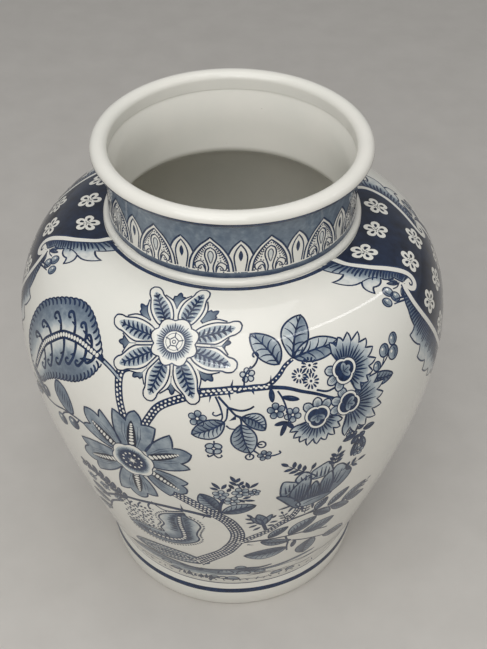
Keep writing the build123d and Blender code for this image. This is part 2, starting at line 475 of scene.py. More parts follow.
class Pen:
    """Paints patches on a skin around its own origin, with x to the right and y up, in mm."""

    def __init__(self, skin, group, angle, level, layer=0):
        self.skin, self.group, self.layer = skin, group, layer
        self.angle, self.level = math.radians(angle), level
        self.origin, self.frame = np.zeros(2), np.eye(2)

    def at(self, x, y, turn=0, size=1, flip=False, layer=0):
        """A pen whose origin, turn and size are set from this one's. flip mirrors its x."""
        pen = copy.copy(self)
        c, s = math.cos(math.radians(turn)) * size, math.sin(math.radians(turn)) * size
        pen.origin = self.origin + self.frame @ np.array([x, y], float)
        pen.frame = self.frame @ np.array([[c, -s], [s, c]]) @ np.diag([-1 if flip else 1, 1])
        pen.layer = self.layer + layer
        return pen

    @property
    def size(self):
        """How many mm on the jar one of the pen's units covers."""
        return math.sqrt(abs(np.linalg.det(self.frame)))

    def follow(self, path, count, start=0.0, end=1.0):
        """Pens at even steps along a path, with x along the path's way."""
        for spot, way in zip(*along(path, count, start, end)):
            yield self.at(*spot, bearing(*way))

    def press(self, points, triangles, tone, over, ink):
        """Puts a patch of triangles down, over layers above the pen's own."""
        points = np.array(points, float)
        sheet = points @ self.frame.T + self.origin
        s = sheet[:, 1] + self.level
        angle = self.angle + sheet[:, 0] / self.skin.radius(s)
        places, normals = self.skin.place(angle, s, LIFT + LAYER * (self.layer + over))
        group = self.group if tone == "wash" else self.group.split("_")[0]
        triangles = np.array(triangles)
        if np.linalg.det(self.frame) < 0:
            triangles = triangles[:, ::-1]
        value = ink(*points.T) if callable(ink) else ink
        keep_paint(group, tone, places, normals, triangles, value)

    def line(self, path, width=0.7, closed=False, swell=(1, 1), tone="ink", over=1, ink=1.0):
        """A stroke along the path. swell is its width at even steps from start to end."""
        path = rows(path, STROKE_STEP / self.size, closed)
        near = np.roll(path, 1, 0), np.roll(path, -1, 0)
        if not closed:
            near[0][0], near[1][-1] = path[0], path[-1]
        way = near[1] - near[0]
        way /= np.maximum(np.linalg.norm(way, axis=1, keepdims=True), 1e-9)
        side = np.stack([-way[:, 1], way[:, 0]], -1)
        far = distance(path)
        half = width * BRUSH / 2 * np.interp(far / far[-1], np.linspace(0, 1, len(swell)), swell)[:, None]
        n = len(path)
        k = np.arange(n if closed else n - 1)
        m = (k + 1) % n
        across = np.linspace(1, -1, 4 if width * self.size > 4 else 2)
        triangles = []
        for a, b in zip(n * np.arange(len(across)), n * np.arange(1, len(across))):
            triangles += [np.stack([a + k, b + k, b + m], -1), np.stack([a + k, b + m, a + m], -1)]
        points = np.vstack([path + side * half * share for share in across])
        self.press(points, np.vstack(triangles), tone, over, ink)

    def fill(self, outline, tone="wash", over=0, ink=0.5):
        """A patch inside a closed outline. ink is a number, or a function of x and y."""
        outline = rows(outline, EDGE_STEP / self.size, True)
        low, high = outline.min(0), outline.max(0)
        grid = FILL_GRID / self.size
        inner = np.empty((0, 2))
        if min(high - low) > 1.2 * grid:
            axes = [np.arange(a + grid / 2, b, grid) for a, b in zip(low, high)]
            spots = np.stack(np.meshgrid(*axes), -1).reshape(-1, 2)
            inner = spots[inside(outline, spots)]
        if enclosed(outline) < 0:
            outline = outline[::-1]
        points = [Vector(p) for p in np.vstack([outline, inner])]
        flat = geometry.delaunay_2d_cdt(points, [], [list(range(len(outline)))], 1, 1e-5, False)
        corners = np.array([[p.x, p.y] for p in flat[0]])
        triangles = np.array(flat[2])
        triangles = triangles[inside(outline, corners[triangles].mean(1))]
        if len(triangles):
            self.press(corners, triangles, tone, over, ink)

    def dot(self, x, y, radius, tone="ink", over=1, ink=0.7, squash=1, turn=0):
        """A filled dot, or with squash below 1 an ellipse turned by turn degrees."""
        count = 8 if radius * self.size < 0.8 else 12
        ring = arc((0, 0), (radius, radius * squash), 0, 360 * (count - 1) / count, count)
        pen = self.at(x, y, turn)
        k = np.arange(count)
        fan = np.stack([k * 0 + count, k, (k + 1) % count], -1)
        pen.press(np.vstack([ring, [[0, 0]]]), fan, tone, over, ink)

    def ring(self, x, y, radius, width=0.6, over=1):
        """A drawn circle."""
        self.at(x, y).line(disc(radius, 24), width, True, over=over)


def finish_painting():
    """Turns each group's patches of one tone into a piece."""
    for (group, tone), (points, normals, triangles, ink, _) in sorted(painted.items()):
        mesh = bpy.data.meshes.new(group + "_" + tone)
        mesh.from_pydata(np.vstack(points).tolist(), [], np.vstack(triangles).tolist())
        mesh.attributes.new("ink", "FLOAT", "POINT").data.foreach_set("value", np.concatenate(ink))
        mesh.shade_smooth()
        mesh.normals_split_custom_set_from_vertices(np.vstack(normals))
        mesh.materials.append(TONES[tone])
        piece = bpy.data.objects.new(mesh.name, mesh)
        bpy.context.collection.objects.link(piece)
        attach(piece, "root")


def smooth(points, closed=False, step=1.2):
    """A smooth curve through the points, sampled about every step mm."""
    p = np.array(points, float)
    if closed:
        ring = np.vstack([p[-1], p, p[:2]])
    else:
        ring = np.vstack([2 * p[0] - p[1], p, 2 * p[-1] - p[-2]])
    out = []
    for a, b, c, d in zip(ring, ring[1:], ring[2:], ring[3:]):
        t = np.linspace(0, 1, max(2, int(np.linalg.norm(c - b) / step) + 1), endpoint=False)[:, None]
        bend, twist = 2 * a - 5 * b + 4 * c - d, 3 * b - a - 3 * c + d
        out.append(b + 0.5 * ((c - a) * t + bend * t**2 + twist * t**3))
    if not closed:
        out.append(p[-1:])
    return np.vstack(out)


def bearing(x, y):
    """The direction of a vector in degrees, anticlockwise from the x axis."""
    return math.degrees(math.atan2(y, x))


def polar(radius, degrees):
    """Points at a radius and an angle from the origin; either may be many."""
    a = np.radians(degrees)
    return np.stack([radius * np.cos(a), radius * np.sin(a)], -1)


def along(path, count, start=0.0, end=1.0):
    """Points and unit directions at even steps along a path."""
    far = distance(path)
    at = np.linspace(start, end, count) * far[-1]

    def spot(where):
        return np.stack([np.interp(where, far, path[:, k]) for k in (0, 1)], -1)

    way = spot(at + 0.5) - spot(at - 0.5)
    return spot(at), way / np.maximum(np.linalg.norm(way, axis=1, keepdims=True), 1e-9)


def mirrored(path):
    """The path mirrored left to right and run the other way."""
    return (np.array(path, float) * [-1, 1])[::-1]


def both(half):
    """An outline from its right half, which runs up to the y axis or between two places on it."""
    return join(half, mirrored(half))


# ---------------------------------------------------------------- plain bands round the jar
def wavering(angle, *waves):
    """How far an edge strays at an angle round the jar. Each wave is its crests, size and start."""
    return sum(size * np.sin(crests * angle + start) for crests, size, start in waves)


def band(skin, group, low, high, tone="ink", wobble=0.0, over=0, ink=1.0, step=0.7):
    """A painted band all round, from low to high up the skin, with slightly uneven edges."""
    angle = np.arange(TURNS) * TAU / TURNS
    rise = int((high - low) / step) + 2
    level = np.linspace(0, 1, rise)
    edge_low = low + wobble * wavering(angle, (5, 0.5, 0), (13, 0.3, 1), (29, 0.25, 2))
    edge_high = high + wobble * wavering(angle, (4, 0.5, 2), (11, 0.3, 0), (31, 0.25, 0))
    s = edge_low[:, None] + (edge_high - edge_low)[:, None] * level
    turn = np.repeat(angle, rise)
    places, normals = skin.place(turn, s.ravel(), LIFT + LAYER * over)
    k, j = (grid.ravel() for grid in np.meshgrid(np.arange(TURNS), np.arange(rise - 1), indexing="ij"))
    a, b = k * rise + j, (k + 1) % TURNS * rise + j
    triangles = np.vstack([np.stack([a, b, b + 1], -1), np.stack([a, b + 1, a + 1], -1)])
    value = ink(np.tile(level, TURNS)) if callable(ink) else ink
    keep_paint(group, tone, places, normals, triangles, value)


# ---------------------------------------------------------------- strokes that many motifs share
def bow(a, b, bulge=0.0, count=8):
    """A curve from a to b that swells by bulge to the left of its way."""
    a, b = np.array(a, float), np.array(b, float)
    t = np.linspace(0, 1, count)[:, None]
    way = (b - a) / np.linalg.norm(b - a)
    return a + (b - a) * t + np.array([-way[1], way[0]]) * bulge * 4 * t * (1 - t)


def lens_shape(base, tip, width):
    """A thin outline pointed at both ends."""
    return join(bow(base, tip, width / 2), bow(tip, base, width / 2))


def bows(start, *legs, count=8):
    """A path of bows: each leg is the next x and y, and its bulge to the left of its way."""
    runs, here = [], start
    for x, y, bulge in legs:
        runs.append(bow(here, (x, y), bulge, count))
        here = (x, y)
    return join(*runs)


def hook(start, end, curl):
    """A stroke that leaves start, and rolls into a small spiral of that radius at end. A negative
    curl rolls clockwise."""
    start, end = np.array(start, float), np.array(end, float)
    way = (end - start) / np.linalg.norm(end - start)
    sign = math.copysign(1, curl)
    centre = end + np.array([-way[1], way[0]]) * curl
    turn = np.linspace(0, 300, 16)
    spiral = centre + polar(abs(curl) * (1 - turn / 300 * 0.62), bearing(*(end - centre)) + sign * turn)
    return join(bow(start, end, -0.12 * sign * np.linalg.norm(end - start)), spiral)


def disc(radius, count=60):
    """A round outline about the origin."""
    return polar(radius, np.arange(count) * 360 / count)


def rays(pen, count, near, far, width, swell, over=1, wobble=0.0, rate=0.0):
    """Strokes out from the pen's origin at even angles. Their far ends wobble at that rate."""
    for k in range(count):
        stroke = [(near, 0), (far + wobble * math.sin(k * rate), 0)]
        pen.at(0, 0, k * 360 / count).line(stroke, width, swell=swell, over=over)


def shade(low, high, axis=0, start=-1.0, end=1.0):
    """An ink function that runs from low to high as x (or y, with axis 1) goes from start to end."""
    return lambda x, y: np.interp((x, y)[axis], [start, end], [low, high])


def from_middle(radii, levels):
    """An ink function: its level at each of those radii from the pen's origin, and between them."""
    return lambda x, y: np.interp(np.hypot(x, y), radii, levels)


def from_line(path, levels, reach):
    """An ink function: the first of the levels on the path, the last at that reach from it."""
    path = rows(path, 1)

    def ink(x, y):
        gap = np.sqrt((x[:, None] - path[:, 0]) ** 2 + (y[:, None] - path[:, 1]) ** 2).min(1)
        return np.interp(gap, np.linspace(0, reach, len(levels)), levels)
    return ink


def bezel(outline, pen, line=0.8, ink=0.5):
    """A patch of wash inside a drawn outline."""
    pen.fill(outline, ink=ink)
    pen.line(outline, line, True)


SCALE_STEP = 1.4         # between rows of scales along a stem
# The scales of a stem, for each width that it stays under: where they lie across it in even and in
# odd rows, as shares of the width, and their radius as a least value and a share of the width.
SCALES = (
    (4.6, ((), (0,)), 0, 0.23),
    (6, ((-0.2,), (0.2,)), 0, 0.165),
    (8, ((-0.28, 0.28), (0,)), 0.5, 0.055),
    (math.inf, ((-0.33, 0.11), (-0.11, 0.33)), 0, 0.088),
)


def stem(pen, path, width, end_width=None, beads=True):
    """A dark branch with rows of white scales down it, from one row where it is thin to four
    where it is thick."""
    path = smooth(path)
    far = distance(path)
    end_width = end_width or width
    pen.line(path, width / BRUSH, swell=(1, end_width / width), over=0)
    if not beads:
        return
    count = int(far[-1] / SCALE_STEP)
    for k, spot in enumerate(pen.follow(path, count, 0.5 / count, 1 - 0.5 / count)):
        here = width + (end_width - width) * k / count
        _, tracks, least, share = next(row for row in SCALES if here < row[0])
        radius = (least + here * share) * (1 - 0.15 * math.sin(k * 2.7))
        for track in tracks[k % 2]:
            spot.dot(0, here * track, radius, "white", squash=0.72, turn=18 * math.sin(k * 1.3))


def thorns(pen, *rows_of_thorns):
    """Each row is a thorn's x and y, its turn and its length."""
    for x, y, turn, length in rows_of_thorns:
        pen.at(x, y, turn).line([(0, 0), (0, length)], 1.1, swell=(1, 0.1), over=0)


def leaf(pen, base, tip, width, bulge=0.0, veins=6, ink=0.5, line=0.78):
    """A rounded leaf with a midrib and curved veins, darker on one side of the midrib."""
    base, tip = np.array(base, float), np.array(tip, float)
    size = np.linalg.norm(tip - base)
    own = pen.at(*base, bearing(*(tip - base)))
    t = np.linspace(0, 1, 17)
    half = width / 2 * (np.sin(np.pi * t**1.05) ** 0.66 * (1.1 - 0.2 * t))
    rib = bulge * 4 * t * (1 - t)
    right = np.stack([t * size, rib - half], -1)
    left = np.stack([t * size, rib + half], -1)
    rib_line = np.stack([t * size, rib], -1)
    own.fill(join(rib_line, left[::-1]), ink=shade(ink * 0.75, ink * 0.45, 1, 0, width / 2))
    own.fill(join(right, rib_line[::-1]), ink=shade(ink * 0.75, ink * 1.25, 1, -width / 2, 0))
    own.line(join(right, left[::-1]), line, True)
    own.line(rib_line, line, swell=(1.5, 0.5))
    for k in range(1, veins + 1):
        at = (k - 0.5) / (veins + 0.6)
        x, y = at * size, np.interp(at, t, rib)
        out = np.interp(at + 0.15, t, half) * 0.86
        for side in (-1, 1):
            vein = bow((x, y), (x + size * 0.15, y + side * out), -side * out * 0.14, 5)
            own.line(vein, line * 0.8, swell=(1, 1, 0.4))


def leaves(pen, veins, ink, *rows_of_leaves):
    """Leaves that share their veins and ink. Each row is base x and y, tip x and y, width and bulge."""
    for x, y, tip_x, tip_y, width, bulge in rows_of_leaves:
        leaf(pen, (x, y), (tip_x, tip_y), width, bulge, veins, ink)


def berry(pen, x, y, radius, ink=0.45):
    """A round berry, shaded on one side with a white glint."""
    own = pen.at(x, y)
    bezel(disc(radius, 20), own, 0.65, shade(ink * 0.6, ink * 1.7, 0, -radius, radius))
    own.line(bow((radius * 0.1, -radius * 0.7), (radius * 0.2, radius * 0.7), -radius * 0.3, 5), 0.5)
    own.dot(-radius * 0.3, radius * 0.3, radius * 0.22, "white")


def sprig(pen, x, y, turn, length, pairs=4, leaf_size=None):
    """A thin twig with pairs of small pointed leaves and one at its end."""
    own = pen.at(x, y, turn)
    path = bow((0, 0), (0, length))
    own.line(path, 0.6, swell=(1, 0.7), over=0)
    size = leaf_size or length / (pairs + 0.5)
    blade = both(bow((0, 0), (0, size), size * 0.22, 6))
    for k, spot in enumerate(own.follow(path, pairs + 1, 0.25)):
        for lean in ((0,) if k == pairs else (-52, 52)):
            spot.at(0, 0, lean - 90).fill(blade, "ink", 1)


def tendrils(pen, *runs):
    """Thin smooth stalks. Each run is a width, and the points that the stalk goes through."""
    for width, *points in runs:
        pen.line(smooth(points), width, swell=(1, 0.8), over=0)


# ---------------------------------------------------------------- the large eight-petalled flower
def knobbed_petal(pen, size, gaps):
    """A white petal that grows up from the flower's middle to a round knob at height size. gaps
    are the angles to half way to the next petals, right and left; it stays inside them."""
    grow = size / 37
    edge = smooth(np.array([(2.9, 10.8), (5.1, 14.5), (6.2, 19.5), (6.0, 24), (4.7, 28), (4.0, 30.5),
                            (4.0, 33), (2.7, 35.9), (0, 37)]) * [1, grow])
    wing = smooth(np.array([(4.2, 10.6), (6.3, 14), (8.1, 19), (8.0, 24.5), (5.0, 29.6)]) * [1, grow])
    sides, wings = [], []
    # The edge, and the white wing behind it, are cut short where they would run into the next petal.
    for gap, flip in zip(gaps, (1, -1)):
        room = edge[:, 1] * math.tan(math.radians(gap)) - 1.0
        sides.append(np.stack([flip * np.minimum(edge[:, 0], np.maximum(room, 1)), edge[:, 1]], -1))
        room = wing[:, 1] * math.tan(math.radians(gap)) - 0.25
        wings.append(np.stack([flip * np.minimum(wing[:, 0], room), wing[:, 1]], -1))
        parted = (wing[:, 0] < room) & (wing[:, 1] > 16)
        if parted.sum() > 2:
            pen.line(wings[-1][parted], 0.62, swell=(0.4, 1, 1), over=2)
    outline = join(sides[0], sides[1][::-1][1:])
    pen.fill(join(wings[0], wings[1][::-1]), "white")
    pen.fill(outline, "white")
    pen.line(outline, 0.66, over=2)
    core = smooth([(0, 11.6), (3.2, 14), (4.4, 19), (4.3, 24), (2.9, 29), (0.8, 33), (-0.8, 33), (-2.9, 29),
                   (-4.3, 24), (-4.4, 19), (-3.2, 14)], True) * [1, grow]
    pen.fill(core, "wash", 1, lambda x, y: np.clip(0.52 - 0.05 * np.abs(x) - 0.012 * (y - 20), 0.08, 0.52))
    pen.line([(0, 12), (0, 32.5 * grow)], 0.85, swell=(0.6, 1, 0.5), over=2)
    for k, reach in enumerate((3.0, 3.9, 4.2, 4.1, 3.6, 3.0, 2.1)):
        y = (12.2 + k * 2.75) * grow
        for side in (-1, 1):
            pen.line(bow((0, y), (side * reach, y + 2.4), side * 0.5), 1.05, swell=(0.5, 1.1, 0.4), over=2)


def sepal(pen, x, y):
    """A dark jagged tip that shows between two petals; up is away from the flower's middle."""
    outline = bows((-3.0, -8), (-2.9, -0.2, 0.4), (-1.1, 0.4, -0.4), (0.3, 2.4, 0.3), (1.4, 0.2, 0.3),
                   (3.0, -0.4, -0.4), (3.0, -8, 0.4))
    bezel(outline, pen.at(x, y, bearing(x, y) - 90), 0.65, shade(0.55, 0.95, 1, -4, 2))


def large_flower(pen):
    """Eight knobbed petals over dark sepals, and a scalloped collar round a five-sided seed."""
    petals = ((177, 38.5), (125.5, 34.8), (75, 35.6), (19, 37),
              (-17, 38.5), (-63, 37), (-107, 37.6), (-146, 40))     # each one's direction and length
    for x, y in ((-4, 27), (18, 19), (28.5, 2.5), (23, -17), (3, -27), (-19, -23), (-30, -8), (-22.5, 14)):
        sepal(pen, x, y)
    degrees, sizes = np.transpose(petals)
    gaps = (degrees - np.roll(degrees, -1)) % 360 / 2
    for k in range(len(petals)):
        knobbed_petal(pen.at(0, 0, degrees[k] - 90, layer=3), sizes[k], (gaps[k], gaps[k - 1]))
    middle = pen.at(0, 0, layer=6)
    notches = polar(11.8, degrees - gaps)
    collar = bows(notches[-1], *[(x, y, 3.0) for x, y in notches])
    middle.fill(collar, "white")
    middle.line(collar, 0.6, True)
    middle.fill(disc(10.4), "wash", 1, from_middle((5.8, 7, 9, 10.4), (0.05, 0.55, 0.3, 0.02)))
    rays(middle, 40, 6.4, 9.9, 0.66, (1, 0.9, 0.3), 2, 0.8, 2.4)
    middle.fill(disc(6.2, 36), "white", 3)
    middle.ring(0, 0, 6.2, 0.6, over=4)
    middle.ring(0, 0, 4.7, 0.25, over=4)
    pentagon = arc((0, 0), (2.7, 2.7), 90, 378, 5)
    middle.line(pentagon, 0.5, True, over=4)
    for x, y in pentagon:
        middle.line([(x, y), (x * 2, y * 2)], 0.5, over=4)
    middle.ring(0, 0, 0.9, 0.4, over=4)


# ---------------------------------------------------------------- the grey six-petalled flower
def rope_of_beads(pen, length, width):
    """A dark spindle up the pen's y, with white beads lying across it that shrink along it."""
    side = smooth([(width * 0.4, 0), (width / 2, length * 0.3), (width * 0.42, length * 0.7),
                   (width * 0.2, length * 0.96), (0, length * 1.06)])
    pen.fill(both(side), "ground", 2)
    y = width * 0.18
    for k in range(9):
        radius = width * (0.31 - 0.021 * k)
        pen.dot(0, y, radius, "white", 3, squash=0.62, turn=22)
        y += radius * 1.55


def lobed_petal(pen, outline, root, tip):
    """A grey petal. Its outline goes root, tip, notch, tip, notch, tip, root; its rope of beads
    runs from root to tip."""
    bulges = (-1.6, -0.8, -1.6, -1.8, -0.8, -1.8)
    path = bows(outline[0], *[(x, y, bulge) for (x, y), bulge in zip(outline[1:], bulges)])
    paling = from_middle((12, 38), (0.55, 0.47))
    pen.fill(path, ink=lambda x, y: paling(x, y) + 0.07 * np.sin(x * 0.45 + y * 0.3))
    pen.line(path, 0.85, over=2)
    way = np.subtract(tip, root)
    inner = pen.at(*root, bearing(*way) - 90)
    length = np.linalg.norm(way)
    for x in (-6, -4.2, 4.2, 6):
        inner.line([(x * 0.6, 2), (x, length * 0.5), (x * 1.02, length * 0.9)], 0.3, swell=(0.4, 1, 0.3))
    rope_of_beads(inner, length, 6.2)


def grey_flower(pen):
    """Six notched grey petals round a white collar and a dark seed head."""
    # Each petal: the seven points of its outline, then where its rope of beads runs from and to.
    petals = (((9.5, 12), (16.5, 33), (8, 33), (3.5, 41.5), (-2, 32.5), (-11, 37.5), (-6.5, 12.5),
               (1, 12), (1.6, 33)),
              ((13, -0.5), (36, 4.5), (31, 8.5), (37.5, 17.5), (26.5, 20.5), (25, 30.5), (9.5, 13),
               (12, 8), (29.5, 15.8)),
              ((8, -11), (20.5, -27.5), (24, -21.5), (31.5, -21), (29.5, -13), (33.5, -9.5), (15, -2),
               (12, -6), (26, -17.4)),
              ((-8.5, -11), (-14, -37), (-6.5, -33), (0, -40), (5, -32.5), (12, -32), (5, -13),
               (0.6, -13), (0, -33)),
              ((-13.5, 3), (-38.5, -2), (-34, -7.5), (-38.5, -17), (-29, -19.5), (-29, -28), (-9, -11),
               (-13, -6), (-31, -14)),
              ((-6, 13), (-20, 32.5), (-20.5, 26.5), (-32, 28), (-28, 16.5), (-34.5, 12.5), (-12, 4.5),
               (-10.5, 8), (-26, 20)))
    for *outline, root, tip in petals:
        lobed_petal(pen, outline, root, tip)
    middle = pen.at(0, 0, layer=3)
    collar = polar(12.6 + 1.8 * np.abs(np.cos(3 * (np.radians(ROUND) - 0.3))) ** 0.8, ROUND)
    middle.fill(collar, "white")
    middle.line(collar, 0.55, True)
    middle.fill(disc(12), "wash", 1, from_middle((8, 9.5, 12), (1.1, 0.6, 0.02)))
    rays(middle, 48, 8, 10.4, 0.5, (1, 0.3), 2, 0.5, 1.9)
    middle.fill(disc(8.8, 50), "ink", 3)
    for k in range(12):
        spot = middle.at(0, 0, k * 30 + 10)
        spot.dot(6.1, 0, 0.75, "white", 4)
        spot.line([(0.8, 0), (3.2 if k % 2 else 2.0, 0)], 0.5, swell=(1, 0.2), tone="white", over=4)
    middle.dot(0, 0, 0.9, "white", 4)


# ---------------------------------------------------------------- the large hooked leaf on the left
def hooked_leaf(pen):
    """A long grey leaf that arches over to the left, with a beaded midrib and rolled veins."""
    upper = smooth([(30, 14), (26, 21), (20, 28), (10, 35.5), (0, 37.5), (-10, 34), (-20, 28), (-30, 20),
                    (-36, 11), (-40, 0), (-42, -12), (-40, -24), (-36, -34)])
    lower = smooth([(-36, -34), (-22, -32), (-15, -25), (-5, -17), (5, -12), (15, -7), (25, 2), (30, 12)])
    rib = smooth([(44, 8), (38, 11.5), (30, 14.5), (20, 16.5), (10, 17.5), (0, 15.5), (-5, 13), (-12, 6.5),
                  (-18, 0), (-22, -8), (-26, -18), (-31, -28)])
    pen.fill(join(upper, lower), ink=from_line(rib, (0.0, 0.08, 0.5, 0.6, 0.68), 20))
    for edge, count, way in ((upper, 34, -1), (lower, 25, 1)):
        spots = along(edge, count)[0]
        pen.line(bows(spots[0], *[(x, y, -0.55) for x, y in spots[1:]]), 0.75, over=2)
        tooth = smooth([(0, -0.3), (1.7 * way, 1.3), (2.2 * way, 3.6)])
        for hatch in list(pen.follow(edge, count))[1:-1]:
            hatch.line(tooth, 1.15, swell=(0.7, 1, 1.1, 0.7), over=2)
    pen.line(rib, 4.1, swell=(0.55, 0.6, 1, 1, 1, 0.9, 0.6), over=2)
    pen.line(rib[:14], 0.9, tone="wash", over=3, ink=0.3)
    for k, spot in enumerate(pen.follow(rib, 32, 0.2, 0.94)):
        spot.dot(0, 0, 1.3 if k < 24 else 1.0, "white", 3, squash=0.85, turn=90)
    curls = (((20, 17), (17, 23), 1.6), ((14, 18), (10.5, 27), 2.2), ((5, 17.5), (-1, 28), 2.7),
             ((-6, 14), (-12, 21.5), 2.7), ((-14, 8), (-23, 10.6), 2.6), ((-21, -2), (-29, -0.5), 2.2),
             ((17, 15.5), (15.5, 4.4), -2.2), ((8, 16), (8, 2), -2.6), ((-2, 13), (-0.5, -3), -2.7),
             ((-13, 4), (-9, -9), -2.7), ((-19, -4), (-16, -16), -2.5), ((24, 14), (21, 8.5), -1.5))
    for start, end, curl in curls:
        path = hook(start, end, curl)
        pen.line(path, 1.45, swell=(1.3, 1, 1, 1, 0.7), over=2)
        barb = pen.at(*path[4], bearing(end[0] - start[0], end[1] - start[1]))
        barb.line([(0, 0), (1.5, math.copysign(2.8, curl))], 1.2, swell=(1.5, 0.4), over=2)


# ---------------------------------------------------------------- the band of arches on the neck
def arch(points, foot=7.6):
    """A pointed arch: the points climb its right side from the foot to the tip."""
    side = smooth(points)
    return join([(-side[0][0], foot)], side * [-1, 1], side[::-1], [(side[0][0], foot)])


def neck_scroll(pen):
    """The nested curls and dots in the right lower corner of a large arch."""
    for reach, top in ((5.8, 14.8), (3.9, 12.4)):
        pen.line(smooth([(2.9, 7.7), (3.3, top - 2.8), (3.0 + reach * 0.45, top), (3.0 + reach, top - 1.9),
                         (3.2 + reach * 0.9, 9.6), (2.6 + reach * 0.7, 9.4)]), 0.62, over=4)
    for x, y in ((8.9, 12.9), (9.3, 9), (7.2, 8.2), (5.4, 10.4), (9.3, 11)):
        pen.dot(x, y, 0.5, over=4)


def large_arch(pen):
    """A double-lined arch with a seed in a drop, dots and nested curls."""
    outer = arch([(12.7, 7.6), (12.5, 10.5), (11.6, 15.5), (9.5, 20.5), (6.3, 25.6), (2.7, 29.4),
                  (0, 32.3)])
    inner = arch([(10.3, 7.6), (10.1, 10.5), (9.3, 15.3), (7.4, 19.9), (4.6, 24.2), (1.9, 27.2), (0, 29)])
    pen.fill(outer, "white", 3)
    pen.line(outer[1:-1], 0.85, over=4)
    pen.line(inner[1:-1], 0.8, over=4)
    drop = smooth([(1.7, 7.6), (1.3, 10.4), (1.9, 13.5), (3.3, 18.6), (2.5, 22.8), (0, 24.9)])
    pen.line(both(drop), 0.7, over=4)
    seed = smooth([(0, 13.8), (1.5, 18.6), (1.1, 21.3), (0, 22.3), (-1.1, 21.3), (-1.5, 18.6)], True)
    pen.line(seed, 0.5, True, over=4)
    pen.fill(seed, "wash", 4, 0.1)
    for flip in (False, True):
        half = pen.at(0, 0, flip=flip)
        neck_scroll(half)
        tracks = (([(8.8, 14.8), (6.9, 19.3), (4.2, 23.3), (1.4, 26.4)], 10),
                  ([(7.9, 15.6), (5.9, 19.6), (3.2, 23.6)], 7),
                  ([(5.6, 15.9), (5.2, 18.6), (4.2, 21.2)], 4))
        for track, count in tracks:
            for spot in half.follow(smooth(track), count):
                spot.dot(0, 0, 0.5, over=4)
        half.dot(4.1, 15.2, 0.45, over=4)
    pen.dot(0, 26.7, 0.5, over=4)


def small_arch(pen):
    """The narrow arch that stands behind two large ones, with a dark heart."""
    outer = arch([(7.6, 14), (7.4, 18), (6.2, 22), (4.4, 25.6), (2.1, 28.5), (0, 30.6)], 14)
    pen.fill(outer, "white", 1)
    pen.line(outer[1:-1], 0.85, over=2)
    inner = arch([(2.5, 7.6), (2.9, 11), (3.5, 15), (3.7, 19), (2.5, 23.5), (0, 27.6)])
    pen.fill(rows([(-6, 7.6), (-6, 16), (6, 16), (6, 7.6)]), "white", 1)
    pen.line(inner[1:-1], 0.7, over=2)
    pen.fill(lens_shape((0, 15.6), (0, 23.4), 2.5), "ink", 2)


ARCHES = 14              # of each kind round the neck
LARGE_ARCH_ANGLE = -9.3
SMALL_ARCH_ANGLE = 3.55


def neck_band():
    """Large and small arches by turns, all round the neck."""
    for turn in np.arange(ARCHES) * 360 / ARCHES:
        large_arch(Pen(NECK, "neck_arches", LARGE_ARCH_ANGLE + turn, 0))
        small_arch(Pen(NECK, "neck_arches", SMALL_ARCH_ANGLE + turn, 0))


# ---------------------------------------------------------------- the dark hanging lappets
def white_blossom(pen, x, y, turn, radius=8.0):
    """A white blossom of five round petals on the dark ground, with a dark drop in each."""
    own = pen.at(x, y, turn)
    out, bulge = 0.64, 0.36      # each petal is a circle: how far out its centre is, and its radius
    degrees = np.arange(0, 360, 4.0)
    lean = np.radians((degrees + 36) % 72 - 36)
    petal_edge = out * np.cos(lean) + np.sqrt(np.maximum(bulge**2 - (out * np.sin(lean)) ** 2, 0))
    reach = radius * np.where(out * np.sin(np.abs(lean)) < bulge, petal_edge, 0.52)
    own.fill(polar(reach, degrees), "white", 1)
    for k in range(5):
        petal = own.at(0, 0, k * 72, radius / 8)
        drop = smooth([(2.0, 0), (3.2, 0.75), (4.8, 0.95), (5.5, 0), (4.8, -0.95), (3.2, -0.75)], True, 0.8)
        petal.fill(drop, "ground", 2)
        petal.at(0, 0, 36).line([(1.0, 0), (2.4, 0)], 0.35, tone="ground", over=2)
    own.dot(0, 0, 0.55, "ground", 2)


LAPPET_UPPER = [(39.8, -0.5), (41.4, -8.5), (37.2, -18.5), (30.5, -27.5), (24.9, -35.5), (22.8, -41.5)]
LAPPET_CURL = [(24.2, -46), (28, -47.4), (31, -44.6), (29.8, -41.8)]
LAPPET_LOWER = [(32.4, -40.6), (34.6, -45), (35.6, -53.5), (33.8, -63.5), (29, -75.5), (24, -85.5),
                (18.5, -95.5), (10, -107), (0, -117)]


def fringe(pen, border, outline, closing, hatches, slant, levels, depth):
    """The hatched leaf fringe between a stretch of the white border and its own pointed outline.
    levels are its ink from the border to depth mm away."""
    pen.fill(join(border, outline[::-1]), ink=from_line(border, levels, depth))
    pen.line(outline, 0.85, over=2)
    for row in closing:
        pen.line(row, 0.6, over=2)
    spots, ways = along(border, hatches, 0.03, 0.97)
    for k, ((x, y), (wx, wy)) in enumerate(zip(spots, ways)):
        reach = depth * (0.78 + 0.12 * math.sin(k * 1.7))
        way = np.array([-wy, wx]) + np.array([wx, wy]) * slant
        way /= np.linalg.norm(way)
        # The hatch stops before it would meet the outline.
        ray = np.array([x, y]) + way * np.linspace(3, reach + 1, 12)[:, None]
        clear = np.linalg.norm(ray[:, None] - outline[None], axis=2).min(1) > 0.9
        reach = reach if clear.all() else 3 + (reach - 2) / 11 * np.argmin(clear) - 0.3
        hatch = bow((x, y), (x + way[0] * reach, y + way[1] * reach), 0.5)
        pen.line(hatch, 0.95, swell=(1.2, 1.1, 0.6), over=2)


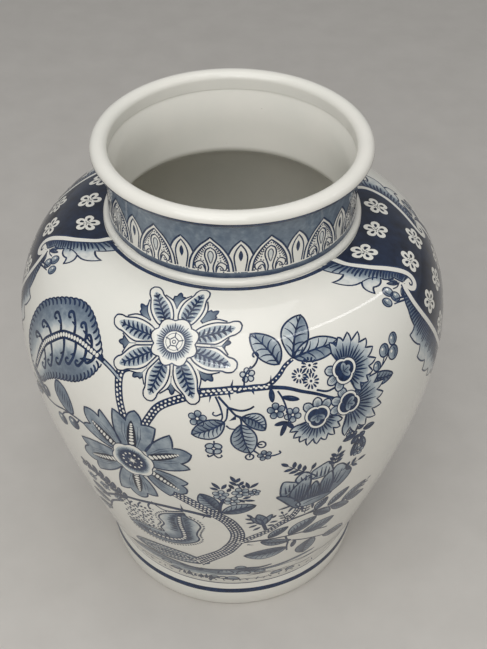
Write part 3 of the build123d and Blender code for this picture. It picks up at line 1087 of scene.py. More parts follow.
def lappet_side(pen):
    """The right edge of a lappet: its white rolled border, leafy fringe and three berries."""
    upper = smooth(LAPPET_UPPER + LAPPET_CURL)
    lower = smooth(LAPPET_LOWER)
    high_edge = bows((52, -0.5), (51.6, -12.5, 1.4), (61.8, -13.4, -1.0), (51, -22.4, 3.0),
                     (53.4, -32.4, 2.8), (50, -29, -0.5), (41, -28, 1.6), (34, -33.5, 1.2),
                     (31.5, -39.5, 0.4))
    fringe(pen, smooth(LAPPET_UPPER), high_edge, [smooth([(51, -22.4), (46, -23.4), (42, -26)])], 25, -0.35,
           (0.8, 0.72, 0.5, 0.08), 12.6)
    low_edge = bows((33.4, -41.2), (43.5, -53.5, 2.0), (45.8, -64, 0.8), (52.7, -66.3, -0.8),
                    (46.2, -78, 1.6), (51.6, -83.4, -0.8), (43, -92.5, 1.4), (46, -97.5, -0.7),
                    (36, -104.5, 1.4), (36.5, -110, -0.7), (25.5, -114, 1.3), (23.5, -119.5, -0.7),
                    (13, -121.5, 1.2), (0, -132, 1.0))
    fringe(pen, lower[6:], low_edge, [], 44, -0.3, (0.8, 0.74, 0.66, 0.5, 0.12), 17)
    for path in (lower, upper):
        pen.line(path, 4.2, over=2)
        pen.line(path, 2.5, tone="white", over=3)
    for x, y, radius in ((52.6, -40.8, 3.0), (46.2, -36.4, 3.2), (44.8, -41.6, 3.2)):
        berry(pen.at(0, 0, layer=1), x, y, radius)
    bracts = (((35, -37), (38.6, -31.4)), ((35.6, -37.6), (41.6, -32.6)), ((35, -41), (40.6, -44.4)))
    for base, tip in bracts:
        leaf(pen.at(0, 0, layer=1), base, tip, 2.2, veins=0, ink=0.9, line=0.5)
    pen.line(smooth([(34, -37.6), (38, -38.4), (41.6, -37.4)]), 0.6, over=2)


BLOSSOM_ROWS = ((-10.5, (-26, -2, 22.5)), (-37, (-12, 11.5)), (-64, (-20, 2.5, 24)), (-88, (-11, 11)),
                (-105, (0,)))


def lappet(angle):
    """A dark cloth-shaped patch with white blossoms that hangs from the foot of the neck."""
    pen = Pen(BODY, "lappets", angle, BODY.run[-1])
    half = join(smooth(LAPPET_UPPER), LAPPET_CURL[:2], [(32, -46.5)], smooth(LAPPET_LOWER[1:]))
    pen.fill(join(half * [-1, 1], half[::-1]), "ground", 1)
    for flip in (False, True):
        lappet_side(pen.at(0, 0, flip=flip))
    for row, (y, places) in enumerate(BLOSSOM_ROWS):
        for x in places:
            turn, radius = 25 * row + 3 * x + 20, 7.8 if y > -100 else 6
            white_blossom(pen.at(0, 0, layer=1), x, y, turn, radius)


# ---------------------------------------------------------------- branches, from the ground to the top
def starburst(pen, x, y, radius):
    """A small wheel of strokes round a dot."""
    own = pen.at(x, y)
    rays(own, 12, radius * 0.42, radius, 0.8, (0.4, 1.2, 1))
    own.dot(0, 0, radius * 0.17)


ROUND_PETAL = np.array([(0.15, 0), (0.45, 0.3), (0.8, 0.33), (1, 0), (0.8, -0.33), (0.45, -0.3)])


def small_flower(pen, x, y, radius, turn=0.0, ink=0.55):
    """A flower of five round petals, shaded at their roots, with a small ring in the middle."""
    own = pen.at(x, y, turn)
    for k in range(5):
        petal = own.at(0, 0, k * 72)
        outline = smooth(radius * ROUND_PETAL, True, 0.8)
        bezel(outline, petal, 0.55, shade(ink * 1.2, ink * 0.35, 0, radius * 0.2, radius * 0.8))
    own.fill(disc(radius * 0.2, 12), "white", 2)
    own.ring(0, 0, radius * 0.2, 0.45, over=3)


def ruff(radius, degrees):
    """How far a carnation's ruff reaches, that many degrees to the side of its middle."""
    return radius * (0.74 + 0.26 * np.cos(np.radians(degrees) * 0.9))


def carnation(pen, x, y, turn, spread, radius):
    """A fan-shaped flower: a dark heart in a white scalloped border, and a saw-edged ruff round it."""
    own = pen.at(x, y, turn)
    for lean in (-38, 38, 0):
        cup = own.at(0, 0, 180 + lean)
        petal = smooth([(4.5, 0), (7, 2.4), (10.5, 2.5), (12.4, 0), (10.5, -2.5), (7, -2.4)], True)
        bezel(petal, cup, 0.65, shade(0.65, 0.12, 0, 5, 12))
        for y_stripe in (-0.9, 0, 0.9):
            cup.line([(5, y_stripe * 0.6), (10.6, y_stripe)], 0.35, swell=(1, 0.3))
    teeth = int(spread / 8.4)    # about 17 degrees each
    k = np.arange(2 * teeth + 1)
    angles = np.linspace(-spread, spread, len(k))
    reach = ruff(radius, angles) + 0.03 * radius * np.sin(k * 2.1)
    tips = polar(reach * np.where(k % 2, 1.06, 0.83), angles + math.degrees(0.03))
    legs = [(x, y, -0.1 if n % 2 else -0.7) for n, (x, y) in enumerate(tips[1:])]
    edge = bows(tips[0], *legs, count=5)
    ruffled = own.at(0, 0, layer=1)
    paling = from_middle(radius * np.array([0.36, 0.6, 0.8, 1]), (0.66, 0.54, 0.2, 0.03))
    ruffled.fill(join([(0, 0)], edge), ink=paling)
    ruffled.line(join([(0, 0)], edge, [(0, 0)]), 0.82)
    hatches = int(math.radians(2 * spread) * 8.6 / 1.45)     # 1.45 mm apart, 8.6 mm out
    for k in range(hatches):
        lean = -spread + 2 * spread * (k + 0.5) / hatches
        far = ruff(radius, lean) * (0.8 if k % 2 else 0.7)
        ruffled.at(0, 0, lean).line([(7.6, 0), (far, 0)], 0.78, swell=(1.1, 1.1, 0.3))
    heart = own.at(0, 0, layer=3)
    shape = polar(0.84 + 0.22 * np.abs(np.cos(1.5 * np.radians(ROUND))) ** 0.7, ROUND)
    heart.fill(shape * 7.6, "white")
    heart.line(shape * 7.6, 0.45, True)
    heart.fill(shape * 6.0, "ink", 1)
    for lean in (-62, 0, 62):
        light = heart.at(-0.6, 0, lean)
        blade = smooth([(-1.2, 0), (1.5, 1.6), (4, 1.3), (4.9, 0), (4, -1.3), (1.5, -1.6)], True, 0.8)
        light.fill(blade, "wash", 2, shade(0.85, 0.4, 0, -1, 4.5))
        light.line([(0, 0), (3.6, 0)], 0.35, over=3)


def flower_spray(pen):
    """The branch of carnations on the right, with its leaves, buds and berries."""
    stem(pen, [(-56, -4), (-46, -2.4), (-38, -2), (-31, 2.5), (-26, 7.5), (-21, 10.5)], 3.6, 2.2)
    stem(pen, [(-38, -3), (-28, -5), (-20, -8.5), (-12, -12), (-5, -16), (2, -20)], 2.4, 1.6, beads=False)
    leaves(pen.at(0, 0, layer=1), 5, 0.48, (-29, 9, -39, 27, 15, -1), (-20.5, 11, -8, 33.5, 15, 1.4),
           (-20, 11, 9, 12.5, 12.5, 1.2))
    for x, y, radius in ((-19.5, 0.5, 4.4), (-12.4, 5, 4.8), (-13.4, -4, 4.8)):
        starburst(pen, x, y, radius)
    pen.line(smooth([(-11, -10), (-5, -12.5), (0, -12)]), 1.0)
    leaves(pen, 0, 1.0, (-36.5, -4.5, -37, -12, 2.4, 0), (-31, -10, -22, -13, 2.4, 0))
    tendrils(pen, (0.9, (-33, -6), (-31, -11), (-29.5, -18), (-29, -26)))
    small_flower(pen, -35.5, -18, 5.2, 20, 0.8)
    small_flower(pen, -26.5, -22, 5.0, 50, 0.6)
    leaves(pen, 0, 1.0, *[(-30.5, -26, x, y, 2, 0) for x, y in ((-34, -35), (-26.5, -31), (-37, -27))])
    carnation(pen.at(0, 0, layer=1), -12, -27, -93, 76, 19)
    carnation(pen.at(0, 0, layer=2), 8, -25, -28, 78, 25)
    carnation(pen.at(0, 0, layer=4), 7.5, -4, 22, 92, 21)
    tendrils(pen, (0.9, (22, -16), (30, -14), (36, -11), (40, -8)), (0.8, (34, -12), (36.5, -8)))
    leaf(pen, (25, -15), (42, -21.5), 8, -1.5, ink=0.85)
    for x, y, radius in ((37, -4.5, 3.7), (45.5, -1.5, 3.4), (44, -9, 4.1), (30, -11, 2.8)):
        berry(pen, x, y, radius)
    cluster = pen.at(17, -50)
    buds = ((-9, -2, 60), (-4, -6, 15), (2, -4, -30), (8, 0, -60), (0, 3, 0), (4, -12, -10), (-3, -14, 10))
    for x, y, turn in buds:
        leaf(cluster, (x * 0.3, y * 0.5), (x * 1.3, y * 1.5), 4, veins=2, ink=1.0)
    small_flower(cluster, 1, -19, 4.2, 10, 0.7)
    small_flower(cluster, -6, 1, 4, 40, 0.8)


def hanging_sprays(pen):
    """The leaves, tendrils and small flowers that hang from the middle branch."""
    stem(pen, [(-27, 21.5), (-16, 23), (-8, 24), (2, 24), (12, 24)], 4.4, 3.4)
    thorns(pen, (-9.5, 25.5, -14, 4), (-21, 20.5, 168, 5), (-11, 21.5, 190, 4), (12, 26, -5, 4.5),
           (2, 22.5, 200, 2.4))
    tendrils(pen, (0.9, (-18.5, 19.5), (-16, 13), (-15, 7), (-16.5, 3.5)),
             (1.1, (-17, 19.5), (-12, 13.5), (-8, 8.5), (-5, 6), (-4.5, 1)),
             (1.1, (-12, 13), (-5, 11), (0, 11.8), (2.6, 13.4)),
             (0.9, (-12, 12.5), (-12.8, 6), (-15, 3)), (0.9, (-7.5, 8.2), (-3, 6.2)),
             (0.8, (-15.6, 9), (-18.6, 7.6), (-20.4, 8.6), (-19.6, 10)))
    pen.fill([(-7.5, 8.5), (-11.5, 4.5), (-7.5, 5.5)], "ink", 1)
    small_flower(pen, -29, 5, 5.2, 12, 0.7)
    leaves(pen.at(0, 0, layer=1), 7, 0.52, (-14, 3.5, -32.5, -6, 12.5, 1), (-5, 2, 0.5, -19, 14.5, -1),
           (-4, 7, 8.7, -2.5, 9.5, 2))
    tendrils(pen, (0.8, (-13, 1.5), (-11, -0.5), (-8, -1)), (0.8, (-20, -9.5), (-20, -12.5)))
    for x, y, turn in ((-22.6, -13.6, 25), (-18, -13.4, -25), (-22.4, -17.4, -25), (-18.2, -17.6, 25)):
        bezel(disc(1, 16) * (2.5, 1.9), pen.at(x, y, turn), 0.7, 0.3)
    tendrils(pen, (0.9, (-23.6, -20.6), (-23.2, -22.4), (-20.4, -20.2), (-20.2, -19), (-20, -20.4),
                   (-17.6, -22.8), (-15.6, -21.4), (-16.2, -20.2)))
    for start, x, y in (((3, -12), 6.8, -13), ((1, -17), 0, -22.2)):
        tendrils(pen, (0.8, start, (x, y)))
        pen.ring(x, y, 2.3, 0.8)
        pen.dot(x, y, 0.5)
    tendrils(pen, (1.0, (2, -17), (5, -20)))
    small_flower(pen, 8.6, -22, 4.2, 30, 0.8)
    tendrils(pen, (1.0, (12, -23), (15, -22.6), (17.8, -21.4), (16.8, -19.4)),
             (0.8, (-2.6, 25.5), (-2, 31), (1.5, 36.5)))
    small_flower(pen, -0.5, 31.5, 4.2, 25, 0.25)
    pen.line(hook((1, 35), (5.5, 41), 2), 0.8)


def peony(pen):
    """The closed grey flower low on the right, with dark sprigs round it."""
    back_petals = (([(-15, 1), (-20.5, -1), (-22, 7), (-21, 14.6), (-16, 13.5), (-11, 10)], 0.15),
                   ([(-10, 10), (-13.5, 14), (-12, 18.5), (-8, 21), (-3.5, 17), (-1, 13)], 0.2),
                   ([(-2, 11), (-4, 18.5), (1, 22.6), (6.6, 24.6), (9.4, 19), (10, 12)], 0.25),
                   ([(8, -12), (11, 14), (16, 17.5), (21, 12), (25, 4.5), (21, -5), (12, -13)], 0.3))
    for outline, ink in back_petals:
        bezel(smooth(outline, True), pen, 0.95, shade(0.7, ink, 1, -4, 16))
    stripes = ((-18, 1, -19.5, 9), (-16.4, 3, -16.8, 11), (-14, 5, -14.4, 11.5), (-9, 12, -10.5, 17),
               (-7, 12, -7.4, 18), (-5, 12, -4.4, 17.4), (0, 12, -0.5, 19), (2.5, 12, 2.6, 21),
               (5, 12, 5.4, 21), (7.4, 12, 7.8, 19), (14, -2, 17.5, 12), (12, -6, 14, 10), (16, -4, 21, 6))
    for x0, y0, x1, y1 in stripes:
        pen.line([(x0, y0), (x1, y1)], 0.9, swell=(1.2, 1, 0.3), over=2)
    inner = pen.at(0, 0, layer=2)
    front_petals = ([(-9, -13), (-15.5, -2), (-13, 8), (-5, 16.5), (-3.4, 7), (-5, -6)],
                    [(6, -13), (3.4, -4), (5, 8), (10, 13.4), (12.2, 2), (11, -11)],
                    [(-6, -13), (-3.6, 0), (0, 8), (3.4, 0), (5.5, -13)])
    for outline in front_petals:
        bezel(smooth(outline, True), inner, 1.0, shade(0.9, 0.38, 1, -10, 12))
        middle = np.mean(outline, axis=0)
        for k in range(-2, 3):
            stroke = [(middle[0] + k * 1.4, -10), (middle[0] + k * 1.9, middle[1] + 8 - abs(k) * 2)]
            inner.line(stroke, 0.9, swell=(1, 1, 0.4), over=2)
    cup = pen.at(0, 0, layer=4)
    bowl = [(-10, -14), (-6, -11.4), (2, -10.6), (9, -11), (13.5, -12.6), (8, -17), (0, -19.6), (-7, -18.4)]
    bezel(smooth(bowl, True), cup, 0.95, shade(0.3, 0.75, 0, -8, 10))
    cup.line(smooth([(-5, -16), (0, -13.6), (6, -13.2)]), 0.6, over=2)
    side_leaf = [(-23.5, -0.6), (-17, -2), (-11, -8), (-7, -16), (-9.5, -19), (-14, -14), (-19, -7)]
    bezel(smooth(side_leaf, True), cup, 0.95, 0.7)
    whiskers = ([(-14, -15), (-20.5, -17)], [(-12, -18), (-13.8, -22.5)], [(2, -20), (2.6, -26)],
                [(-5, -20), (-4.4, -25.5)])
    for path in whiskers:
        cup.line(path, 1.5, swell=(1, 1, 0.3))
    sprigs = ((-6, 19, 50, 17, 3), (-5, 20, -20, 8, 0), (10, 17, -10, 13, 3), (17, 9, -75, 12, 2))
    for x, y, turn, long, pairs in sprigs:
        sprig(pen.at(0, 0, layer=1), x, y, turn, long, pairs, 6.4)


def main_branches(front):
    """The dark stems that climb from the ground and carry the flowers."""

    def at(*stops):
        """Angles in degrees and distances up the body, as the front pen's x and y."""
        return [(math.radians(angle) * BODY.radius(s), s) for angle, s in stops]

    stem(front, at((-14, 38), (-10.4, 46.9), (-6.7, 55.3), (-2.9, 64.2), (-0.7, 72.9), (0.9, 82),
                   (1.4, 93.5), (0.1, 104.8), (-2.4, 115.3), (-9, 130), (-20, 149)), 11.4, 6.6)
    stem(front, at((1.4, 79), (6.6, 88.9), (11, 95.8), (13.9, 103.1), (16.5, 107.9), (18.1, 115),
                   (18.8, 122)), 5.6, 4.6)
    stem(front, at((11, 95.8), (16.8, 105), (22.6, 108.6), (27.5, 115)), 2.8, 1.6, beads=False)
    stem(front, at((-6, 118), (-12, 121.5), (-20, 122), (-28, 118), (-35, 112), (-45, 95)), 3.4, 2.4,
         beads=False)
    stem(front, at((-26, 234), (-29.5, 228), (-29, 213), (-27, 196)), 5.2)
    stem(front, at((-23, 192), (-20.5, 205), (-18, 214), (-13, 221), (-7, 226), (0, 228.5)), 5.2, 4.6)
    thorns(front, (-31, 123, 10, 6), (-17, 119, 160, 5), (9, 76, -110, 4.5), (26, 100, -35, 3.5),
           (17, 88, -40, 3), (-52, 120, -20, 4), (33, 103.5, 20, 4))


# ---------------------------------------------------------------- the plants round the main stem
def dark_leaves(pen, width, *rows_of_leaves):
    """Small solid leaves. Each row is base x and y, tip x and y."""
    for x, y, tip_x, tip_y in rows_of_leaves:
        pen.fill(lens_shape((x, y), (tip_x, tip_y), width), "ink", 1)


def thistle(pen, x, y, turn):
    """A small pointed bud in grey petals, with dark barbs up its sides."""
    own = pen.at(x, y, turn)
    petals = (([(0, -4), (-5, 2), (-6.4, 9), (-3, 6.5), (0, 2)], 0.75),
              ([(0, -4), (5, 2), (7, 8.5), (3.6, 6.5), (0, 2)], 0.6),
              ([(0, -4), (-3.6, 4), (-1.6, 11.5), (2, 8), (3.4, 2)], 0.7))
    for outline, ink in petals:
        bezel(smooth(outline, True), own, 0.8, ink)
    own.line([(0, -2), (-0.6, 8)], 0.7, swell=(1, 0.3), over=2)
    dark_leaves(own, 2.4, (-5, 8, -8, 14), (-5, 5, -10, 8.5), (-4, 1, -10.5, 2), (-3.6, -2, -9.5, -5),
                (-2, -6, -7.6, -10), (5.6, 3, 9.5, 6.4), (4, -2, 9.4, -2.4), (2, -6, 6.4, -7))
    own.line([(0.5, -12), (0, -3)], 2)


def flower_bush(pen):
    """The knot of little flowers and dark leaves that grows from the main stem."""
    tendrils(pen, (2.0, (-12, -30), (-12.4, -22), (-11.5, -14), (-9, -6)),
             (1.2, (-12.4, -20), (-11, -12), (-14.5, -7)),
             (1.0, (-11, -14), (-5, -8), (0, 0), (-2, 8)))
    leaves(pen, 6, 0.85, (-13.5, -22, -24, -4.4, 11.5, 0.6), (-11, -26, 9.2, -17.2, 11, 1))
    for x, y, radius, turn in ((-12, -4, 5, 10), (0, -1.5, 5.4, 40), (-5, -11, 5.2, 70), (8, -2, 3.6, 20)):
        small_flower(pen.at(0, 0, layer=1), x, y, radius, turn, 0.55)
    dark_leaves(pen, 2.6, (-12, 2, -17.4, 9), (-13, 1, -18.4, 3.4), (-11.4, 2, -8.4, 7.8), (-8, -1, -6, 3.8),
                (-2.8, 9, -6.4, 16), (-2.6, 9.4, -0.8, 14), (-2, 6, -7, 10.6), (-1, 6, 1.4, 10.6),
                (-4, 2.5, -7.2, 7.6), (1.6, 3, 1.2, 7), (4.8, 2.4, 3, 9.6), (5, 3, 10.4, 8.2),
                (1, -9, 6.2, -6), (1.4, -10.4, 8.8, -11.6), (-1, -9, 2.6, -13))


def edged_leaf(pen):
    """The big curled leaf low on the left, with a beaded midrib and a wavy dotted border."""
    outer = smooth([(24, 18), (25.5, 13), (30, 9), (32.3, 2), (29.4, -6), (28, -12), (28.6, -18), (25, -24),
                    (17, -30), (7, -34), (-4, -34.5), (-14, -30), (-21, -22)])
    inner = smooth([(-21, -22), (-13, -18), (-3, -18.5), (5, -17.5), (4, -12), (7.6, -4), (5.4, 3), (8, 9),
                    (15, 14), (24, 18)])
    rib = smooth([(24.5, 18), (20.6, 13), (19.2, 0), (19.6, -12), (18, -21), (9, -27), (-3, -28),
                  (-12, -25)])
    pen.fill(join(outer, inner), ink=from_line(rib, (0.85, 0.7, 0.45, 0.15, 0.08), 14))
    pen.line(join(outer, inner), 0.95, True, over=2)
    pen.line(rib, 3.4, swell=(0.4, 1, 1, 0.9, 0.5), over=2)
    for spot in pen.follow(rib, 20, 0.12, 0.92):
        spot.dot(0, 0, 1.1, "white", 3)
    for edge, count in ((outer, 44), (inner, 34)):
        spots, ways = along(edge, count, 0.05, 0.95)
        for k, ((x, y), (wx, wy)) in enumerate(zip(spots, ways)):
            pen.dot(x - wy * 2.2, y + wx * 2.2, 0.75, over=2)
            near = rib[np.argmin(np.linalg.norm(rib - (x, y), axis=1))]
            ends = [near + (np.array([x, y]) - near) * share for share in (0.62 if k % 2 else 0.54, 0.24)]
            pen.line(ends, 1.0, swell=(0.4, 1, 1), over=2)


def lace(pen):
    """A drift of dark flecks and short curls between the big leaf and the thin branch above it."""
    tendrils(pen, (1.1, (24, 20), (12, 16), (5, 20.5)))
    for x, y, x2, y2 in ((2, 20, 0.5, 11), (-5, 16, -8, 8), (-12, 12, -15, 4)):
        tendrils(pen, (1.2, (x, y), ((x + x2) / 2 - 1, (y + y2) / 2), (x2, y2)))
    for row in range(8):
        for k in range(7):
            x = 1 - k * 3.1 - row * 0.5 + 0.9 * math.sin(5 * k + 3 * row)
            y = 11 - row * 3.7 - k * 0.5 + 0.9 * math.cos(4 * k + 7 * row)
            fleck = pen.at(x, y, 24 * math.sin(3 * k + 5 * row) - 24)
            fleck.line([(0, -1.4), (0, 1.4)], 1.35 if (k + row) % 3 else 0.8, swell=(0.5, 1.2, 0.5))
            if (k + 2 * row) % 4 == 0:
                fleck.dot(1.8, 0.4, 0.7, "wash", 1, 0.5)


def fruit_spray(pen):
    """The leaf and two fruits at the left end of the branch behind the grey flower."""
    tendrils(pen, (1.2, (12, -12.5), (2, -12), (-8, -13.5), (-20, -18), (-34, -19), (-50, -16)),
             (1.0, (-4, -13), (-8, -16), (-11.5, -20.5)), (0.9, (6, -13), (4, -16), (1.5, -18)))
    big_leaf = [(-13, 7), (-5, 6.4), (0.6, -1), (1.8, -9.6), (-3, -11.8), (-10, -9), (-14.6, -2)]
    bezel(smooth(big_leaf, True), pen, 0.9, 0.62)
    for k in range(6):
        vein = [(-11 + k * 2, 5 - k * 1.2), (-12.4 + k * 2.4, -2 - k * 1.5)]
        pen.line(vein, 0.7, swell=(0.4, 1, 0.4), over=2)
    for x, y, radius in ((0.4, -19, 4.5), (-12, -24.4, 4.4), (-27, -12, 3.8)):
        berry(pen, x, y, radius, ink=0.75)
    leaves(pen, 6, 0.7, (-27, -18, -44, -4, 9, 1), (-36, -18.5, -50, -30, 8, -1))


def lower_left_cluster(pen):
    """The feathery plant with small flowers where the thin left branch ends."""
    stalk = smooth([(-14, 9), (-22, 17), (-30, 24), (-38, 28), (-47, 28)])
    pen.line(stalk, 1.3)
    for k, spot in enumerate(pen.follow(stalk, 8, 0.1)):
        for lean, size in ((52, 9), (-52, 8)):
            leaf(spot.at(0, 0, lean), (0, 0), (size - k * 0.4, 0), 3.4, veins=3, ink=1.1, line=0.7)
    for x, y, radius in ((-24, 6, 4), (-34, 12, 4.4), (-45, 14, 4.2)):
        small_flower(pen, x, y, radius, x * 3, 0.75)
        tendrils(pen, (0.8, (x, y), (x + 5, y + 5), (x + 8, y + 11)))
    leaves(pen, 6, 0.8, (-33, -2, -47, 6, 9, 1), (-36, -12, -52, -10, 9, 1), (-38, -22, -54, -30, 9, 1))
    tendrils(pen, (1.6, (-20, 6), (-32, -6), (-38, -20), (-46, -36)))


def low_right_leaves(pen):
    """The leaves and twigs that spread under the closed flower."""
    tendrils(pen, (1.6, (-38, 0), (-26, 1), (-10, 0.6), (2, -0.5), (10, -4), (22, -10)),
             (1.6, (-21, 21), (-10, 26), (3, 28), (14, 26), (26, 24), (40, 26)),
             (1.2, (-10, 0), (-7, -10), (-6.4, -18), (-5, -26)),
             (1.2, (-4, -9.5), (4, -14), (14, -19), (24, -25)))
    leaves(pen, 7, 0.9, (-21.5, 3, -11, 16, 8, 1), (-26, -1, -5, -8.5, 9, -1.6), (-8, 2, 8, 19, 13, 1.5),
           (2, -1, 24, 5, 14, -1), (-6, -20, -34, -23.5, 17, 2.5), (5, 27, 18, 17, 9, 0.8),
           (18, 26, 34, 14, 8, -0.8), (6, 29, 12, 42, 7, 1), (15, 28, 28, 42, 8, 1), (26, 25, 44, 36, 9, 1),
           (30, 24, 46, 20, 8, -1), (12, -18, 10, -42, 14, -2), (22, -24, 42, -34, 12, 1),
           (-2, -11, -2, -22, 3, 0))
    for x, y, turn in ((-14, 28, 20), (-2, 30, 0), (40, 27, -40)):
        sprig(pen, x, y, turn, 9, 2, 4)


STONE = np.array([(-1, -0.5), (-0.6, 0.5), (0.3, 0.7), (1, 0), (0.7, -0.6)])


def ground(pen):
    """The rocky ground that the plants grow from: washed mounds, dark edges, pebbles and grass."""
    mound = smooth([(-78, -2), (-64, 3), (-52, 2.4), (-40, 0), (-28, -3), (-16, -2), (-6, 0), (4, 0.6),
                    (14, -1), (24, -3)])
    back = smooth([(24, -3), (10, -9), (-8, -12), (-30, -14), (-52, -10), (-72, -8)])
    pen.fill(join(mound, back), ink=from_line(mound, (0.95, 0.6, 0.3), 11))
    pen.line(mound, 1.3, swell=(0.4, 1, 0.7, 1.3, 1.4, 0.8, 1.2, 0.4))
    ridge = smooth([(14, -2), (26, -1), (36, 1), (46, 4), (58, 6.6)])
    pen.fill(join(ridge, [(56, 3.4), (44, 0), (30, -3.4), (16, -5)]), ink=0.7)
    pen.line(ridge, 1.1, swell=(0.3, 1, 1, 0.4))
    pebbles = ((5, 4.4, 3.6), (-5, -5, 5), (7, -6.5, 4.6), (-1, -17.4, 4.6), (-13, -16, 3.6),
               (18, -6.4, 3.6), (-40, -15, 4), (-47, -8, 3.6), (30, -16, 3.8), (40, -17, 3.2))
    for x, y, radius in pebbles:
        stone = smooth(radius * STONE, True)
        bezel(stone, pen.at(x, y), 0.8, shade(0.8, 0.2, 1, -radius, radius))
    pen.line(smooth([(3, 2.2), (10, 2.4), (18, 1.4), (26, 3.8)]), 2.4, swell=(0.6, 1, 1, 0.5), over=2)
    pen.line(smooth([(2, -3.4), (9, -3), (16, -4.4)]), 2.0, swell=(0.4, 1, 0.4), over=2)
    hollow = smooth([(-36, -1), (-34, -4.4), (-28, -3.4), (-22, -4.8), (-21, -1)])
    pen.line(hollow, 2.6, swell=(0.6, 1, 0.7, 1, 0.6), over=2)
    for k in range(9):
        x = -34 + k * 2.6
        blade = [(x, -21.5), (x + 1.4 * math.sin(k * 2.1), -14 + 2.4 * math.sin(k * 1.3))]
        pen.line(blade, 1.5, swell=(1.2, 1, 0.1))
    pen.line(hook((-16, -26), (-9, -15.6), -3), 1.3)
    for k in range(12):
        x, y, long = -82 + 11.4 * k, -4 - 2.1 * (k * 5 % 9), 34 + 9 * math.sin(k * 2.3)
        streak = smooth([(x, y - 1), (x + long * 0.4, y + 0.8), (x + long * 0.7, y - 0.4),
                         (x + long, y + 1.4)])
        pen.line(streak, 0.75, swell=(0.3, 1.2, 0.8, 1.2, 0.2))
    for k in range(26):
        x = -76 + k * 5.4
        tip = (x + 2.6 * math.sin(k * 1.9), -18.4 + 1.6 * math.sin(k * 3.1))
        pen.line(bow((x, -23), tip, 0.4), 0.8, swell=(1.2, 0.1))


def mound_leaf(pen):
    """The broad dotted leaf that lies along the ground on the left."""
    outline = smooth([(-16, 10), (-22, 17), (-34, 23), (-50, 24), (-64, 20), (-70, 12), (-60, 6), (-44, 4),
                      (-28, 5)], True)
    rib = smooth([(-18, 11), (-34, 14), (-52, 14), (-66, 13)])
    pen.fill(outline, ink=from_line(rib, (0.8, 0.5, 0.35, 0.6), 11))
    pen.line(outline, 0.9, True, over=2)
    pen.line(rib, 1.8, swell=(1, 1, 0.4), over=2)
    for spot in pen.follow(rib, 16, 0.05, 0.9):
        spot.dot(0, 0, 0.6, "white", 3)
    middle = np.array([-42, 14])
    for k, size in enumerate((0.88, 0.74, 0.6, 0.45, 0.3)):
        ring = middle + (outline - middle) * size
        for stroke in pen.follow(ring, int(46 * size)):
            if k % 2:
                stroke.dot(0, 0, 0.7, "white", 2)
            else:
                stroke.line([(-1.5, 0), (1.5, 0)], 0.95, swell=(0.4, 1.2, 0.4), over=2)


# ---------------------------------------------------------------- the painting, from the lines to the lappets
neck_top, body_top = NECK.run[-1], BODY.run[-1]
# A cobalt line round the lip's lower, downward-facing side. It is partly a painted line and partly painted
# shade for the shadow under the lip's roll.
band(LIP, "lip_line", 4.8, 8.0, wobble=0.12)
band(NECK, "neck", 3.9, 7.9, "wash", wobble=0.4, over=1, ink=lambda t: 1.1 - 0.4 * t)
band(NECK, "neck", 8, neck_top - 0.2, "wash", ink=0.62, step=2)
band(BODY, "body_lines", body_top - 3.1, body_top - 0.4, wobble=0.15)
band(BODY, "body_lines", 0.3, 2.0, wobble=0.1)
band(FOOT, "foot_lines", FOOT.level(17.4), FOOT.level(21.4), wobble=0.15)

# The back of the jar repeats the front's painting, half way round.
for side, turn in (("front_", 0), ("back_", 180)):
    def sheet(group, angle, level, layer=0):
        """A motif's pen, at an angle from the middle of its side and a distance up the body."""
        return Pen(BODY, side + group, angle + turn, level, layer)

    ground(sheet("plants", 0, 30))
    mound_leaf(sheet("plants", 0, 30))
    edged_leaf(sheet("edged_leaf", -25, 100))
    lace(sheet("edged_leaf", -25, 100))
    lower_left_cluster(sheet("left_cluster", -25, 100))
    main_branches(sheet("branches", 0, 0, layer=1))
    flower_bush(sheet("flower_bush", 2, 150, layer=1))
    thistle(sheet("flower_bush", -2, 100, layer=1), 22.5, 9, 8)
    fruit_spray(sheet("fruit_spray", -45, 190, layer=1))
    low_right_leaves(sheet("low_leaves", 22, 80))
    flower_spray(sheet("flower_spray", 26, 232, layer=1))
    hanging_sprays(sheet("hanging_sprays", 4, 205, layer=1))
    peony(sheet("peony", 22, 140, layer=2))
    large_flower(sheet("large_flower", -16.5, 252, layer=3))
    grey_flower(sheet("grey_flower", -26, 165, layer=3))
    hooked_leaf(sheet("hooked_leaf", -49, 215))

neck_band()
for side_angle in (77, -95):
    lappet(side_angle)

finish_painting()

# ================================================================ stage, lights and camera
FLOOR = 4.0              # half the floor's side, in metres
floor_mesh = bpy.data.meshes.new("floor")
floor_corners = [(x * FLOOR, y * FLOOR, 0) for x, y in ((-1, -1), (1, -1), (1, 1), (-1, 1))]
floor_mesh.from_pydata(floor_corners, [], [(0, 1, 2, 3)])
floor = bpy.data.objects.new("floor", floor_mesh)
bpy.context.collection.objects.link(floor)
floor_nodes = Nodes("floor_matt")
floor_tones = [(0.3, srgb(205, 201, 195)), (0.7, srgb(211, 207, 201))]
floor_nodes.set(Base_Color=floor_nodes.ramp(floor_nodes.noise(40, 4), floor_tones))
floor_nodes.set(Roughness=0.7)
floor_mesh.materials.append(floor_nodes.material)

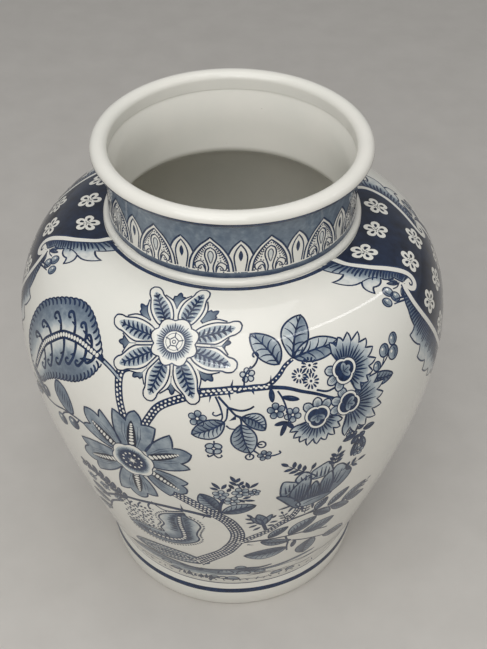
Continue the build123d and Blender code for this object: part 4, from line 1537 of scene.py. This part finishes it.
world = bpy.data.worlds.new("studio")
world.use_nodes = True
room = world.node_tree.nodes["Background"].inputs
room["Color"].default_value = (0.95, 0.95, 0.95, 1)
room["Strength"].default_value = 0.34
bpy.context.scene.world = world
bpy.context.scene.view_settings.view_transform = "Standard"


def softbox(name, place, target, size, watts, run=(1, 0, 0)):
    """A rectangular studio lamp at place that faces target, both in metres; its length lies as
    near to the run as it can."""
    lamp = bpy.data.lights.new(name, "AREA")
    lamp.shape = "RECTANGLE"
    lamp.size, lamp.size_y = size
    lamp.energy = watts
    box = bpy.data.objects.new(name, lamp)
    back = (Vector(place) - Vector(target)).normalized()
    across = back.cross(Vector(run)).normalized()
    turn = Matrix((across.cross(back), across, back)).transposed()
    box.matrix_world = Matrix.Translation(place) @ turn.to_4x4()
    bpy.context.collection.objects.link(box)


jar_middle = (0, 0, 0.2)
right_shoulder = (0.06, -0.08, 0.25)
softbox("front", (-0.22, -0.72, 0.94), jar_middle, (0.8, 0.8), 4.9)
softbox("top", (-0.05, -0.1, 1.5), jar_middle, (0.9, 0.9), 3.6)
softbox("right_strip", (0.80, -0.27, 1.10), right_shoulder, (1.4, 0.05), 1.3, (0.52, 0.68, -0.30))
softbox("front_strip", (-0.20, -1.10, 0.90), (0, -0.1, 0.24), (0.36, 0.02), 0.25, (0.33, -0.13, -0.09))

CAMERA_BACK = 0.6035     # metres
CAMERA_HEIGHT = 0.6983
YAW = 0.68               # degrees, to the right
PITCH = 40.33            # below level
ROLL = 0.31
FOCAL_LENGTH = 66.56     # mm, for a sensor SENSOR_HEIGHT high
SENSOR_HEIGHT = 36
lens = bpy.data.cameras.new("camera")
lens.sensor_fit = "VERTICAL"
lens.sensor_height = SENSOR_HEIGHT
lens.lens = FOCAL_LENGTH
camera = bpy.data.objects.new("camera", lens)
camera.matrix_world = Matrix.Translation((0, -CAMERA_BACK, CAMERA_HEIGHT))
for degrees, axis in ((-YAW, "Z"), (90 - PITCH, "X"), (ROLL, "Z")):
    camera.matrix_world @= Matrix.Rotation(math.radians(degrees), 4, axis)
bpy.context.collection.objects.link(camera)
bpy.context.scene.camera = camera
